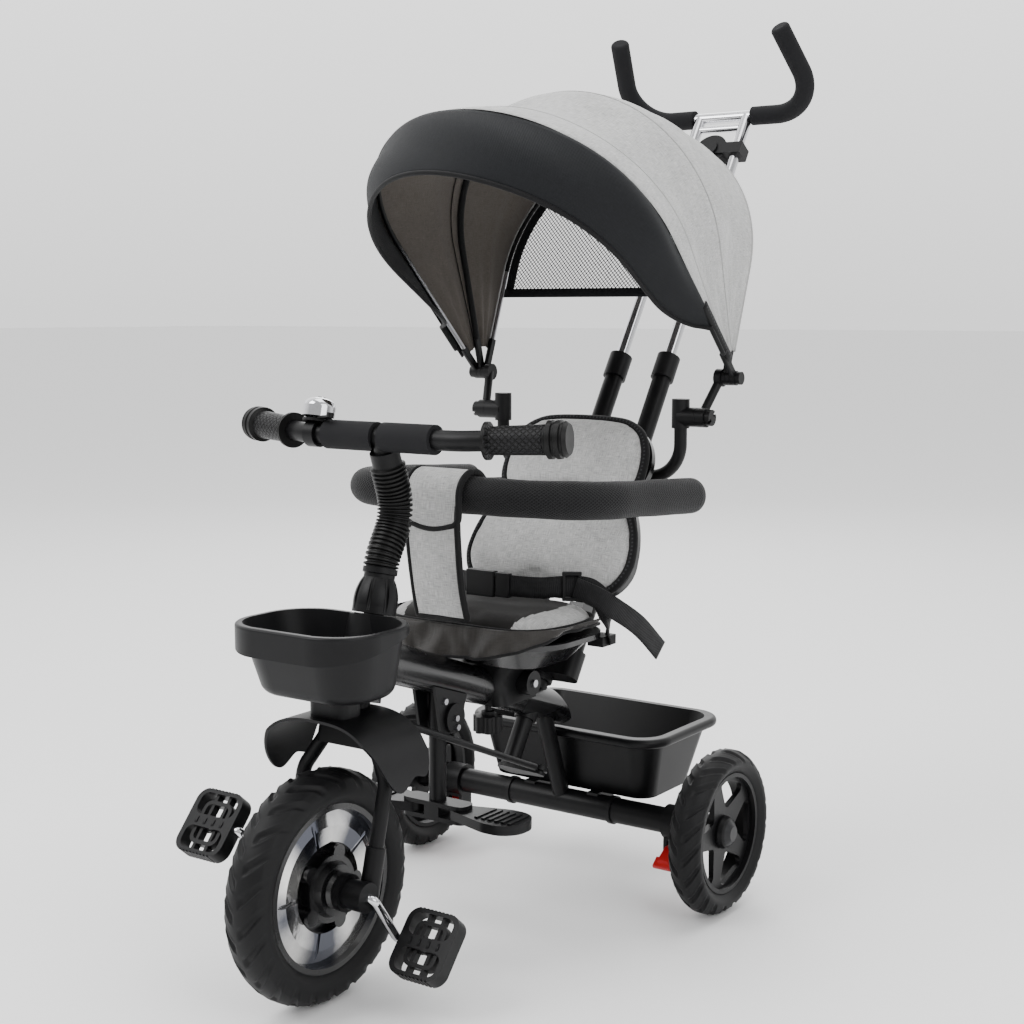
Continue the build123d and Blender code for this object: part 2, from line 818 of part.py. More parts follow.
def crown_room():
    """Everything below the mudguard's skin, and all that lies behind it."""
    behind = block(-100, 100, mudguard_rear + 1, 0, 0, 600)
    below = block(-200, 200, -700, mudguard_rear + 1, -50, mudguard_centre_z)
    return crown_inside() + behind + below


def fork_dropouts():
    """Axle bosses with a socket for each fork leg."""
    boss = along_x(boss_radius, boss_inner, boss_outer, -fork_offset, 0)
    neck = along_x(boss_radius + 4, boss_inner, boss_inner + 8, -fork_offset, 0)
    socket = bar((fork_leg_x, leg_y(), -6), (fork_leg_x, leg_y(), 50), fork_leg_radius + 2.6)
    body = boss + neck + socket
    body -= bar((fork_leg_x, leg_y(), 12.7), (fork_leg_x, leg_y(), 60), fork_leg_radius + slip_gap)
    body -= along_x(crank_rod_radius + running_gap, 0, 100, -fork_offset, 0)
    return pair(in_steer(body))


def mudguard():
    """Wide arch over the front wheel, with a wavy lower edge that ends in round lobes."""
    arch = mudguard_form(0, mudguard_front, mudguard_rear)
    arch -= mudguard_form(mudguard_wall, mudguard_front - 50, mudguard_rear + 50)
    low = mudguard_centre_z
    wave = Spline(
        (mudguard_front, low + 66),
        (mudguard_front + 9, low + 47),
        (mudguard_front + 22, low + 24),
        (mudguard_front + 38, low + 13),
        (mudguard_front + 52, low + 19),
        (mudguard_rear - 26, low + 25),
        (mudguard_rear - 10, low + 22),
        (mudguard_rear - 2, low + 34),
        (mudguard_rear, low + 66),
    )
    crest = Polyline(
        (mudguard_rear, low + 66),
        (mudguard_rear, low + 120),
        (mudguard_front, low + 120),
        (mudguard_front, low + 66),
    )
    side_cut = Pos(-120, 0, 0) * extrude(Plane.YZ * make_face([wave, crest]), 240)
    shell = arch & side_cut
    return shell - in_steer(bar((0, 0, 100), (0, 0, 300), stem_radius + slip_gap))


def front_basket():
    """Tub with a round belly, a deep front lip, a recess round the head tube and a moulded foot."""
    low_y = front_basket_y + 9
    low_width = front_basket_width - 2 * front_basket_taper
    low_length = front_basket_length - 30

    def wall(inset, z_low, z_high):
        low = Pos(0, low_y, z_low) * RectangleRounded(
            low_width - 2 * inset, low_length - 2 * inset, 40 - inset
        )
        high = Pos(0, front_basket_y, z_high) * RectangleRounded(
            front_basket_width - 2 * inset, front_basket_length - 2 * inset, 50 - inset
        )
        tub = loft([low, high])
        return fillet(tub.edges().group_by(Axis.Z)[0], front_basket_round - inset)

    lip = Pos(0, front_basket_y, front_basket_top - 30) * extrude(
        RectangleRounded(front_basket_width + 9, front_basket_length + 9, 54), 30
    )
    slant = Plane(origin=(0, front_basket_y - 62, front_basket_top - 29), z_dir=(0, 0.2, -1))
    lip -= extrude(slant * Rectangle(400, 600), 80)
    lip = fillet(lip.edges().group_by(Axis.Z)[-1], 3)
    outer = wall(0, front_basket_floor, front_basket_top - 0.2) + lip
    hollow = wall(basket_wall, front_basket_floor + basket_wall, front_basket_top + 0.2)
    clear = in_steer(bar((0, 0, 100), (0, 0, 420), head_tube_radius + 2.5))
    recess = in_steer(bar((0, 0, 100), (0, 0, 420), head_tube_radius + 5.5)) & outer
    foot = block(-25, 25, low_y - 10, low_y + 30, mudguard_centre_z + 60, front_basket_floor + 1)
    foot = fillet(foot.edges().filter_by(Axis.Z), 14)
    foot -= mudguard_form(0, -700, -100)
    return outer - hollow + recess + foot - clear


def stem_points():
    return [
        (0, 0, crown_bottom + 12),
        (0, 0, stem_kink_height),
        (0, stem_bulge_back, stem_bulge_height),
        (0, -bar_forward, bar_height),
    ]


def stem_path():
    return FilletPolyline(*stem_points(), radius=[stem_bend + 20, stem_bend])


def stem_end_run():
    """Unit direction of the stem where it meets the handlebar."""
    points = stem_points()
    return (Vector(*points[-1]) - Vector(*points[-2])).normalized()


def stem_tube():
    path = stem_path()
    tube = sweep(Plane(origin=path @ 0, z_dir=path % 0) * Circle(stem_radius), path=path)
    run = stem_end_run()
    collar = bar(bar_centre - run * (collar_gap + collar_length), bar_centre - run * collar_gap, bellows_root)
    tube += collar
    return in_steer(tube - along_x(bar_radius + slip_gap, -60, 60, -bar_forward, bar_height))


def stem_cap():
    """Fluted bell-shaped cover on the head tube, turning with the stem."""
    low = head_tube_top + 1
    bore = stem_radius + slip_gap
    profile = make_face(
        [
            Polyline((bore, cap_top), (bore, low), (24, low), (24, low + 8)),
            ThreePointArc((24, low + 8), (22, low + 28), (17, low + 39)),
            Polyline((17, low + 39), (17, cap_top - 7), (19, cap_top - 6), (19, cap_top), (bore, cap_top)),
        ]
    )
    cap = revolve(Plane.XZ * profile, axis=Axis.Z)
    for i in range(8):
        cap -= Rot(0, 0, i * 45 + 22.5) * bar((25.5, 0, low + 3), (19.5, 0, low + 40), 2.6)
    return in_steer(cap)


def bellows():
    """Ribbed rubber sleeve over the bent part of the stem."""
    path = stem_path()
    start = cap_top + seat_gap - (crown_bottom + 12)
    end = path.length - collar_gap - collar_length - seat_gap
    pitch = (end - start) / bellows_ribs

    def ring(at, radius):
        share = path.position_at(at, position_mode=PositionMode.LENGTH)
        aim = path.tangent_at(at, position_mode=PositionMode.LENGTH)
        return Plane(origin=share, x_dir=(1, 0, 0), z_dir=aim) * Circle(radius)

    steps = [(0.1, bellows_root), (0.35, bellows_crest), (0.65, bellows_crest), (0.9, bellows_root)]
    outer = [ring(start, bellows_root)]
    bore = [ring(start - 0.4, stem_radius + soft_gap)]
    for i in range(bellows_ribs):
        outer += [ring(start + (i + share) * pitch, radius) for share, radius in steps]
        bore.append(ring(start + (i + 0.5) * pitch, stem_radius + soft_gap))
    outer.append(ring(end, bellows_root))
    bore.append(ring(end + 0.4, stem_radius + soft_gap))
    sleeve = loft(outer, ruled=True) - loft(bore, ruled=True)
    return in_steer(sleeve)


def bar_points():
    left = Vector(-bar_corner.X, bar_corner.Y, bar_corner.Z)
    left_end = Vector(-bar_end.X, bar_end.Y, bar_end.Z)
    return [left_end, left, bar_corner, bar_end]


def handlebar_tube():
    return in_steer(bent_bar(bar_points(), 80, bar_radius))


def bar_pads():
    pad = ring_x(pad_radius, bar_radius + slip_gap, pad_inner, pad_outer, -bar_forward, bar_height)
    run = stem_end_run()
    notch = bar(bar_centre - run * 60, bar_centre, stem_radius + 3)
    return in_steer(pair(pad - notch))


def bar_grips():
    """Grips with an inner flange, a ringed end and a closed tip."""
    aim = (bar_end - bar_corner).normalized()
    tip = grip_length
    profile = Polyline(
        (0, 0),
        (0, grip_radius + 5),
        (4, grip_radius + 5),
        (6, grip_radius),
        (tip - 24, grip_radius + 1),
        (tip - 22, grip_radius + 5),
        (tip - 17, grip_radius + 5),
        (tip - 16, grip_radius + 3),
        (tip - 14, grip_radius + 3),
        (tip - 13, grip_radius + 5),
        (tip - 8, grip_radius + 5),
        (tip - 7, grip_radius + 3),
        (tip - 5, grip_radius + 3),
        (tip - 4, grip_radius + 4),
        (tip, grip_radius + 1),
        (tip, 0),
        close=True,
    )
    body = revolve(make_face(profile), axis=Axis.X)
    body -= along_x(bar_radius + slip_gap, -1, tip - 4)
    place = Plane(origin=bar_end - aim * (tip - 4.2), x_dir=aim, z_dir=(0, -aim.Z, aim.Y))
    return in_steer(pair(place.location * body))


def bell_pivot():
    return Vector(bell_x + bell_radius - 6, -bar_forward - 9, bar_height + bell_seat)


def bell():
    """Clamp ring with a base disc and a post, and the deep dome on the post."""
    foot = Pos(bell_x, -bar_forward, bar_height)
    rim = bell_seat + lever_wall + 2 * seat_gap
    base = ring_x(bar_radius + 4, 1, bell_x - 7, bell_x + 7, -bar_forward, bar_height)
    base += foot * bar((0, 0, bar_radius + 1), (0, 0, bell_seat), bell_radius - 1)
    crown = rim + bell_height
    base += foot * bar((0, 0, bell_seat - 1), (0, 0, crown + 1), 2.8)
    base += foot * bar((0, 0, crown + slip_gap), (0, 0, crown + 2.5), 5)
    base += bar(bell_pivot() - Vector(0, 0, 1), bell_pivot() + Vector(0, 0, lever_wall + seat_gap), 1.5)
    base -= along_x(bar_radius + slip_gap, bell_x - 30, bell_x + 30, -bar_forward, bar_height)
    shoulder = rim + bell_wall_height
    skin = 1.6
    side = Line((bell_radius, rim), (bell_radius, shoulder))
    outer = ThreePointArc((bell_radius, shoulder), (bell_radius * 0.8, crown - 1.6), (3, crown))
    top = Line((3, crown), (3, crown - skin))
    hollow = bell_radius - skin
    inner = ThreePointArc((3, crown - skin), (bell_radius * 0.8 - 1.2, crown - 3), (hollow, shoulder))
    back_side = Line((hollow, shoulder), (hollow, rim))
    edge = Line((hollow, rim), (bell_radius, rim))
    dome = foot * revolve(Plane.XZ * make_face([side, outer, top, inner, back_side, edge]), axis=Axis.Z)
    return in_steer(group(base, dome))


def bell_lever():
    """Thumb lever of the bell, between its base and its dome."""
    at = bell_pivot() + Vector(0, 0, seat_gap / 2)
    thumb = Pos(20, -8) * Circle(4)
    plate = make_hull([*Circle(4).edges(), *thumb.edges()]) - Circle(1.5 + running_gap)
    body = extrude(plate, lever_wall)
    body += Pos(20, -8, 0) * extrude(Circle(4), lever_wall + 3)
    return in_steer(Pos(at) * body)


def link_rod():
    """Steering link: a sleeved rod with an eye on the push lever and an open hook at the fork."""
    eye = Vector(link_rear)
    front = Vector(link_front)
    run = (front - eye).normalized()
    rod = bar(eye + run * 12, front - run * 12, link_rod_radius)
    rod += bar(front - run * 13, front - run * 8.5, 1.9)
    eye_plane = Plane(origin=eye, x_dir=(1, 0, 0), z_dir=push.z_dir)
    eye_ring = eye_plane.location * (Cylinder(9, 5) - Cylinder(3 + running_gap, 20))
    neck = bar(eye + run * 7.6, eye + run * 14, 2) - eye_plane.location * Cylinder(3 + running_gap, 20)
    hook_plane = Plane(origin=front, x_dir=(1, 0, 0), z_dir=steer.z_dir)
    hook = hook_plane.location * (Cylinder(10, 4) - Cylinder(7, 20))
    return rod + eye_ring + neck + hook


# Front wheel


def front_tyre():
    half = front_tyre_width / 2
    r = front_radius
    edge = front_rim_radius
    profile = make_face(
        [
            Polyline((-half + 7, edge), (half - 7, edge), (half - 1, edge + 8)),
            ThreePointArc((half - 1, edge + 8), (half, edge + 18), (half - 4, r - 8)),
            ThreePointArc((half - 4, r - 8), (0, r), (-half + 4, r - 8)),
            ThreePointArc((-half + 4, r - 8), (-half, edge + 18), (-half + 1, edge + 8)),
            Line((-half + 1, edge + 8), (-half + 7, edge)),
        ]
    )
    return Pos(front_axle) * revolve(profile, axis=Axis.X)


def front_rim():
    """Rim ring, web and lobed stepped hub in one moulding."""
    half = front_tyre_width / 2 - 7
    edge = front_rim_radius
    ring = around([(-half, edge - 6), (-half, edge), (half, edge), (half, edge - 6)])
    web = around([(-3, 12), (-3, edge - 5), (3, edge - 5), (3, 12)])
    lobes = Circle(36)
    for i in range(5):
        lobes += Rot(0, 0, 72 * i) * Pos(38, 0) * Circle(9)
    plate = Plane.YZ * extrude(lobes, 19, both=True)
    half_steps = [(31, 0), (31, 17), (27, 20), (27, 27), (19, 30)]
    steps = around([(-x, r) for x, r in half_steps] + list(reversed(half_steps)))
    body = ring + web + plate + steps - along_x(crank_rod_radius + slip_gap, -60, 60)
    return Pos(front_axle) * body


def wheel_lenses():
    """Clear dished panels with five petals on both faces of the front wheel."""
    edge = front_rim_radius - 6
    face = around([(3, 48), (3, edge), (11, edge), (14, 66), (13, 48)])
    for i in range(5):
        face -= Rot(72 * i + 36, 0, 0) * bar((11.6, 48, 0), (16, edge + 2, 0), 2.5)
    lobes = Circle(36)
    for i in range(5):
        lobes += Rot(0, 0, 72 * i) * Pos(38, 0) * Circle(9)
    face -= Plane.YZ * extrude(lobes, 40, both=True)
    return pair(Pos(front_axle) * face)


def crank():
    """One bent steel rod: axle, two arms and two pedal pins."""
    left = front_axle + pedal_offset
    right = front_axle - pedal_offset
    reach = pedal_inner + pedal_width - 4
    x = Vector(1, 0, 0)
    points = [
        left + x * reach,
        left + x * arm_x,
        front_axle + x * arm_x,
        front_axle - x * arm_x,
        right - x * arm_x,
        right - x * reach,
    ]
    return bent_bar(points, crank_bend, crank_rod_radius)


def pedal_form():
    """Cage pedal about its own pin, lying flat: toothed rim, inner loop and a ribbed barrel."""
    frame = extrude(RectangleRounded(pedal_width, pedal_depth, 15), pedal_thickness / 2, both=True)
    middle = pedal_depth / 4 + 1
    for side in (-1, 1):
        window = Pos(0, side * middle) * RectangleRounded(pedal_width - 13, pedal_depth / 2 - 12, 9)
        frame -= extrude(window, 30, both=True)
        for i in range(9):
            frame -= Pos((i - 4) * 5, side * pedal_depth / 2, 0) * Box(2.2, 3.4, 40)
    loop = RectangleRounded(pedal_width - 26, pedal_depth - 24, 10)
    loop -= RectangleRounded(pedal_width - 35, pedal_depth - 33, 6)
    frame += extrude(loop, pedal_thickness / 2 - 3, both=True)
    for side in (-1, 1):
        frame += Pos(side * 9, 0, 0) * Box(4, pedal_depth - 6, pedal_thickness - 8)
    frame += along_x(8, -pedal_width / 2, pedal_width / 2)
    for x in (-18, -6, 6, 18):
        frame += along_x(9.5, x - 1.5, x + 1.5)
    return frame - along_x(crank_rod_radius + running_gap, -pedal_width, pedal_width / 2 - 3)


def left_pedal():
    at = front_axle + pedal_offset + Vector(pedal_inner + pedal_width / 2, 0, 0)
    return Pos(at) * Rot(pedal_tilt, 0, 0) * pedal_form()


def right_pedal():
    at = front_axle - pedal_offset - Vector(pedal_inner + pedal_width / 2, 0, 0)
    return Pos(at) * Rot(pedal_tilt, 0, 0) * mirrored(pedal_form())


# Rear wheels and brakes


def rear_tyre():
    half = rear_tyre_width / 2
    r = rear_radius
    edge = rear_rim_radius
    profile = make_face(
        [
            Polyline((-half + 6, edge), (half - 6, edge), (half - 1, edge + 6)),
            ThreePointArc((half - 1, edge + 6), (half, edge + 13), (half - 4, r - 6)),
            ThreePointArc((half - 4, r - 6), (0, r), (-half + 4, r - 6)),
            ThreePointArc((-half + 4, r - 6), (-half, edge + 13), (-half + 1, edge + 6)),
            Line((-half + 1, edge + 6), (-half + 6, edge)),
        ]
    )
    return Pos(rear_wheel_x, 0, rear_radius) * revolve(profile, axis=Axis.X)


def rear_rim():
    """Dished rim with five spokes between tapered windows, a hub and a domed cap."""
    half = rear_tyre_width / 2 - 6
    edge = rear_rim_radius
    ring = around([(-half, edge - 5), (-half, edge), (half, edge), (half, edge - 5)])
    dish = around([(-4, 10), (2, edge - 4), (8, edge - 4), (4, 10)])
    inner = Pos(34, 0) * Circle(5)
    outer = Pos(55, 19) * Circle(7)
    window = make_hull([*inner.edges(), *outer.edges(), *(Pos(55, -19) * Circle(7)).edges()])
    for i in range(5):
        dish -= Plane.YZ * extrude(Rot(0, 0, 72 * i) * window, 60, both=True)
    hub_in = rear_hub_inner - rear_wheel_x
    cap = half + 5
    inside = [(hub_in, 0), (hub_in, 16), (-6, 20), (8, 20)]
    outside = [(half - 2, 18), (half + 2, 13), (cap, 9), (cap, 0)]
    hub = around(inside + outside)
    body = ring + dish + hub
    body -= along_x(axle_rod_radius + running_gap, -80, rear_tyre_width / 2 - 3.5)
    return Pos(rear_wheel_x, 0, rear_radius) * body


def brake_lever():
    """Red foot lever on its pin below the axle tube."""
    z = brake_pin_z()
    half = 7.5
    hub = along_x(7, brake_x - half, brake_x + half, 0, z)
    paddle = Polyline(
        (4, z - 6),
        (5, z + 4),
        (-16, z + 3),
        (-34, z - 8),
        (-37, z - 18),
        (-30, z - 20),
        (-14, z - 9),
        close=True,
    )
    web = Pos(brake_x - half, 0, 0) * extrude(Plane.YZ * make_face(paddle), 2 * half)
    pad = Pos(brake_x, -32, z - 13) * Rot(40, 0, 0) * Box(24, 15, 6)
    pad = fillet(pad.edges().filter_by(Axis.X), 2)
    body = hub + web + pad
    return body - along_x(2.5 + running_gap, brake_x - 20, brake_x + 20, 0, z)


# Footrests


def footrest():
    """Tapered platform with tread ribs, swinging on a vertical pin in its inner end."""
    half = footrest_thickness / 2
    start = footrest_pin_x
    plate = Pos(start + footrest_reach / 2 + 13, footrest_y) * RectangleRounded(
        footrest_reach - 26, footrest_width, footrest_width / 2 - 2
    )
    eye = Pos(start, footrest_y) * Circle(footrest_eye)
    outline = make_hull([*plate.edges(), *eye.edges()])
    body = Pos(0, 0, footrest_z - half) * extrude(outline, footrest_thickness)
    for i in range(6):
        x = start + 34 + i * 9
        body += Pos(x, footrest_y, footrest_z + half) * block(-2, 2, -19, 19, -0.5, 1.8)
    dish = Pos(start + footrest_reach / 2 + 13, footrest_y) * RectangleRounded(
        footrest_reach - 34, footrest_width - 8, footrest_width / 2 - 6
    )
    body -= Pos(0, 0, footrest_z - half - 1) * extrude(dish, footrest_thickness - 3)
    hole = bar((start, footrest_y, 0), (start, footrest_y, 300), 4 + running_gap)
    return body - hole


# Push handle


def push_yoke():
    """Block for both tubes on a shaft through the beam, with the link's lever at the shaft's foot."""
    block_height = push_block_top - push_block_bottom
    body = Pos(0, 0, push_block_bottom + block_height / 2) * Box(2 * push_tube_x + 32, 32, block_height)
    body = fillet(body.edges().filter_by(Axis.Z), 14)
    body += bar((0, 0, push_bush_half + 4 + seat_gap), (0, 0, push_block_bottom), push_bush_radius + 4)
    body += bar((0, 0, push_lever_height - 8), (0, 0, push_block_bottom), push_shaft_radius)
    for side in (-1, 1):
        body -= bar((side * push_tube_x, 0, 46), (side * push_tube_x, 0, 90), push_tube_radius + slip_gap)
    lever = Pos(0, 0, push_lever_height - 8) * extrude(
        make_hull([*Circle(14).edges(), *(Pos(push_lever_reach, 0) * Circle(6.5)).edges()]), 4.2
    )
    body += lever
    pin_low = (push_lever_reach, 0, push_lever_height - 8)
    body += bar(pin_low, (push_lever_reach, 0, push_lever_height + 5), 3)
    return in_push(body)


def push_tubes():
    """Lower tubes and the collars that clamp the telescopic frame."""
    tube = bar((push_tube_x, 0, 46 + seat_gap), (push_tube_x, 0, push_tube_top), push_tube_radius)
    tube -= bar((push_tube_x, 0, 0), (push_tube_x, 0, push_tube_top + 1), push_tube_bore)
    low = push_collar_top - 34
    collar = bar((push_tube_x, 0, low), (push_tube_x, 0, push_collar_top), push_collar_radius)
    below = (push_tube_x, 0, low - 1)
    collar -= bar(below, (push_tube_x, 0, push_tube_top + slip_gap), push_tube_radius + slip_gap)
    collar -= bar(below, (push_tube_x, 0, push_collar_top + 1), push_inner_radius + slip_gap)
    return in_push(group(pair(tube), pair(collar)))


def horn_points():
    """Handle line on one side, from the tube out and round to the tip, in the tricycle's frame."""
    corner = push.from_local_coords(Vector(horn_x, 0, push_cross_height))
    tip = corner + Vector(-26, -horn_forward, horn_rise)
    start = push.from_local_coords(Vector(push_tube_x, 0, push_cross_height))
    return [start, corner, tip]


def push_frame():
    """Chrome telescopic frame: two tubes, a cross bar, a thinner stay and the bent ends inside the foam."""
    tube = bar((push_tube_x, 0, push_inner_bottom), (push_tube_x, 0, push_cross_height), push_inner_radius)
    tube -= bar((push_tube_x, 0, 0), (push_tube_x, 0, push_cross_height - 40), push_inner_radius - 1.5)
    cross = along_x(push_inner_radius, -push_tube_x, push_tube_x, 0, push_cross_height)
    stay = along_x(5, -push_tube_x, push_tube_x, 0, push_cross_height - 20)
    start, corner, tip = horn_points()
    short = tip + (corner - tip).normalized() * 12
    horn = bent_bar([start, corner, short], horn_bend, push_inner_radius)
    return in_push(tube + mirrored(tube) + cross + stay) + horn + mirrored(horn)


def push_grips():
    start, corner, tip = horn_points()
    inner = start + Vector(9, 0, 0)
    foam = bent_bar([inner, corner, tip], horn_bend, horn_foam_radius)
    foam = fillet(foam.edges().sort_by(Axis.Z)[-1], 5)
    short = tip + (corner - tip).normalized() * (12 - slip_gap)
    foam -= bent_bar([start, corner, short], horn_bend, push_inner_radius + slip_gap)
    return pair(foam)


def push_spacer():
    """Round moulded spacer that ties both chrome tubes together."""
    centre = push_cross_height - 62
    disc = Rot(90, 0, 0) * Cylinder(25, 18)
    rest = Pos(0, 0, centre) * (disc + Box(2 * push_tube_x + 26, 24, 18))
    for side in (-1, 1):
        rest -= bar((side * push_tube_x, 0, 0), (side * push_tube_x, 0, 1000), push_inner_radius + slip_gap)
    rest += Pos(0, 0, centre) * Rot(90, 0, 0) * Cylinder(13, 30)
    return in_push(rest)


# Canopy


def canopy_support_tube():
    points = [
        (clamp_x, clamp_y, clamp_z + 14),
        (clamp_x, support_run_y, support_run_z),
        (-clamp_x, support_run_y, support_run_z),
        (-clamp_x, clamp_y, clamp_z + 14),
    ]
    return bent_bar(points, 42, support_radius)


def canopy_clamps():
    """Barrel clamps on the support tube, each with a pivot pin and a slotted knob."""
    barrel = bar((clamp_x, clamp_y, clamp_z - 14), (clamp_x, clamp_y, clamp_z + 22), 11)
    boss = along_x(12, clamp_x, clamp_x + 24, clamp_y, clamp_z)
    pin = along_x(4, clamp_x + 20, clamp_x + 44, clamp_y, clamp_z)
    knob = along_x(10, clamp_x + 37, clamp_x + 44, clamp_y, clamp_z)
    knob -= Pos(clamp_x + 44, clamp_y, clamp_z) * Rot(35, 0, 0) * Box(6, 30, 4)
    tube_foot = (clamp_x, support_run_y, support_run_z)
    tube = bar(tube_foot, (clamp_x, clamp_y, clamp_z + 14 + seat_gap), support_radius + slip_gap)
    return pair(barrel + boss + pin + knob - tube)


def bow_plane(angle):
    """Plane of a bow through the hub line, with its local Y pointing away from the hubs."""
    a = radians(angle)
    return Plane(origin=(0, hub_y, hub_z), x_dir=(1, 0, 0), z_dir=(0, -cos(a), -sin(a)))


def bow_line(half, height, foot):
    """Straight legs and a round top, drawn as lines and quarter arcs."""
    spring = height - half
    diagonal = half * sqrt(0.5)
    return [
        Line((half, foot), (half, spring)),
        ThreePointArc((half, spring), (diagonal, spring + diagonal), (0, height)),
        ThreePointArc((0, height), (-diagonal, spring + diagonal), (-half, spring)),
        Line((-half, spring), (-half, foot)),
    ]


def bow_rod(angle, half, height, knuckle):
    """A bow with an eye and a moulded knuckle on each hub pin."""
    line = Wire(bow_line(half, height, 8))
    rod = sweep(Plane(origin=line @ 0, z_dir=line % 0) * Circle(bow_rod_radius), path=line)
    for side in (-1, 1):
        eye = along_x(9, side * half - knuckle / 2, side * half + knuckle / 2)
        socket = bar((side * half, 4, 0), (side * half, 46, 0), 5)
        rod += eye + socket & block(side * half - knuckle / 2, side * half + knuckle / 2, -20, 60, -20, 20)
    rod -= along_x(4 + running_gap, -300, 300)
    return bow_plane(angle).location * rod


def rear_half():
    return hub_x - bow_step


def front_half():
    return hub_x + bow_step


def knuckle_width():
    return bow_step - 0.5


def mid_bow():
    return bow_rod(mid_bow_angle, hub_x, mid_bow_height - cloth_stand_off, knuckle_width())


def front_bow():
    return bow_rod(front_bow_angle, front_half(), front_bow_height - cloth_stand_off, knuckle_width())


def canopy_arms():
    """Links from the clamps to the hubs, the hub pins and the rear bow that stays with them."""
    pivot_x0 = clamp_x + 24 + seat_gap
    pivot_x1 = clamp_x + 37 - seat_gap
    eye = along_x(12, pivot_x0, pivot_x1, clamp_y, clamp_z)
    eye -= along_x(4 + running_gap, pivot_x0 - 1, pivot_x1 + 1, clamp_y, clamp_z)
    hub_in = rear_half() - knuckle_width() / 2
    arm = bar(((pivot_x0 + pivot_x1) / 2, clamp_y + 4, clamp_z + 8), (hub_in - 3, hub_y, hub_z), 5.5)
    arm -= along_x(4 + running_gap, pivot_x0 - 1, pivot_x1 + 1, clamp_y, clamp_z)
    hub = along_x(11, hub_in - 8, hub_in + 1, hub_y, hub_z)
    pin = along_x(4, hub_in, front_half() + bow_step, hub_y, hub_z)
    head_in = front_half() + knuckle_width() / 2 + seat_gap
    head = along_x(8, head_in, front_half() + bow_step + 3, hub_y, hub_z)
    side = eye + arm + hub + pin + head
    rear = bow_rod(rear_bow_angle, rear_half(), rear_bow_height - cloth_stand_off, knuckle_width())
    return rear + side + mirrored(side)


def cloth_band(angle, half, height, foot):
    """Cross-section of the cloth in a bow's plane."""
    outer = bow_line(half + cloth_stand_off, height, foot)
    inner = bow_line(half + cloth_stand_off - cloth_wall, height - cloth_wall, foot)
    ends = [
        Line((half + cloth_stand_off, foot), (half + cloth_stand_off - cloth_wall, foot)),
        Line((-half - cloth_stand_off, foot), (-half - cloth_stand_off + cloth_wall, foot)),
    ]
    return bow_plane(angle).location * make_face([*outer, *inner, *ends])


def canopy_cover():
    """Cloth stretched over the three bows, with a dip between the middle and the front bow."""
    dip_angle = (mid_bow_angle + front_bow_angle) / 2
    dip_height = (mid_bow_height + front_bow_height) / 2 - cloth_sag
    back_angle = (rear_bow_angle + mid_bow_angle) / 2
    back_rise = (rear_bow_height + mid_bow_height) / 2 - cloth_sag / 4
    half_step = bow_step / 2
    bands = [
        cloth_band(rear_bow_angle, rear_half(), rear_bow_height, cloth_foot),
        cloth_band(back_angle, hub_x - half_step, back_rise, cloth_foot),
        cloth_band(mid_bow_angle, hub_x, mid_bow_height, cloth_foot),
        cloth_band(dip_angle, hub_x + half_step, dip_height, cloth_foot),
        cloth_band(front_bow_angle, front_half(), front_bow_height, cloth_foot),
    ]
    return loft(bands)


def canopy_visor():
    """Dark crescent in front of the front bow that narrows and climbs towards its lip."""
    half = front_half()
    start = front_bow_angle + 0.05
    bands = []
    for share, narrow in ((0, 0), (0.5, 0.25), (1, 1)):
        foot = visor_foot + visor_side_rise * share
        height = front_bow_height - visor_drop * share
        bands.append(cloth_band(start + visor_reach * share, half - visor_narrow * narrow, height, foot))
    return loft(bands)


def canopy_window():
    """Net panel inside the rear bow: one holed sheet with a solid border."""
    half = rear_half() - bow_rod_radius - soft_gap
    height = rear_bow_height - cloth_stand_off - bow_rod_radius - soft_gap
    sheet = make_face([*bow_line(half, height, window_foot), Line((half, window_foot), (-half, window_foot))])
    inner_half = half - 14
    inner_height = height - 14
    opening = make_face(
        [
            *bow_line(inner_half, inner_height, window_foot + 12),
            Line((inner_half, window_foot + 12), (-inner_half, window_foot + 12)),
        ]
    )
    step = 22
    cells = []
    for row in range(24):
        for column in range(-9, 10):
            x = column * step + (row % 2) * step / 2
            y = window_foot + 20 + row * step / 2
            if hypot(x, max(y - (inner_height - inner_half), 0)) < inner_half - 9 and y < inner_height - 9:
                cells.append(Pos(x, y) * Rot(0, 0, 45) * Rectangle(11, 11))
    net = sheet - Sketch(children=cells) if cells else sheet
    return bow_plane(rear_bow_angle).location * extrude(net, 0.6, both=True)


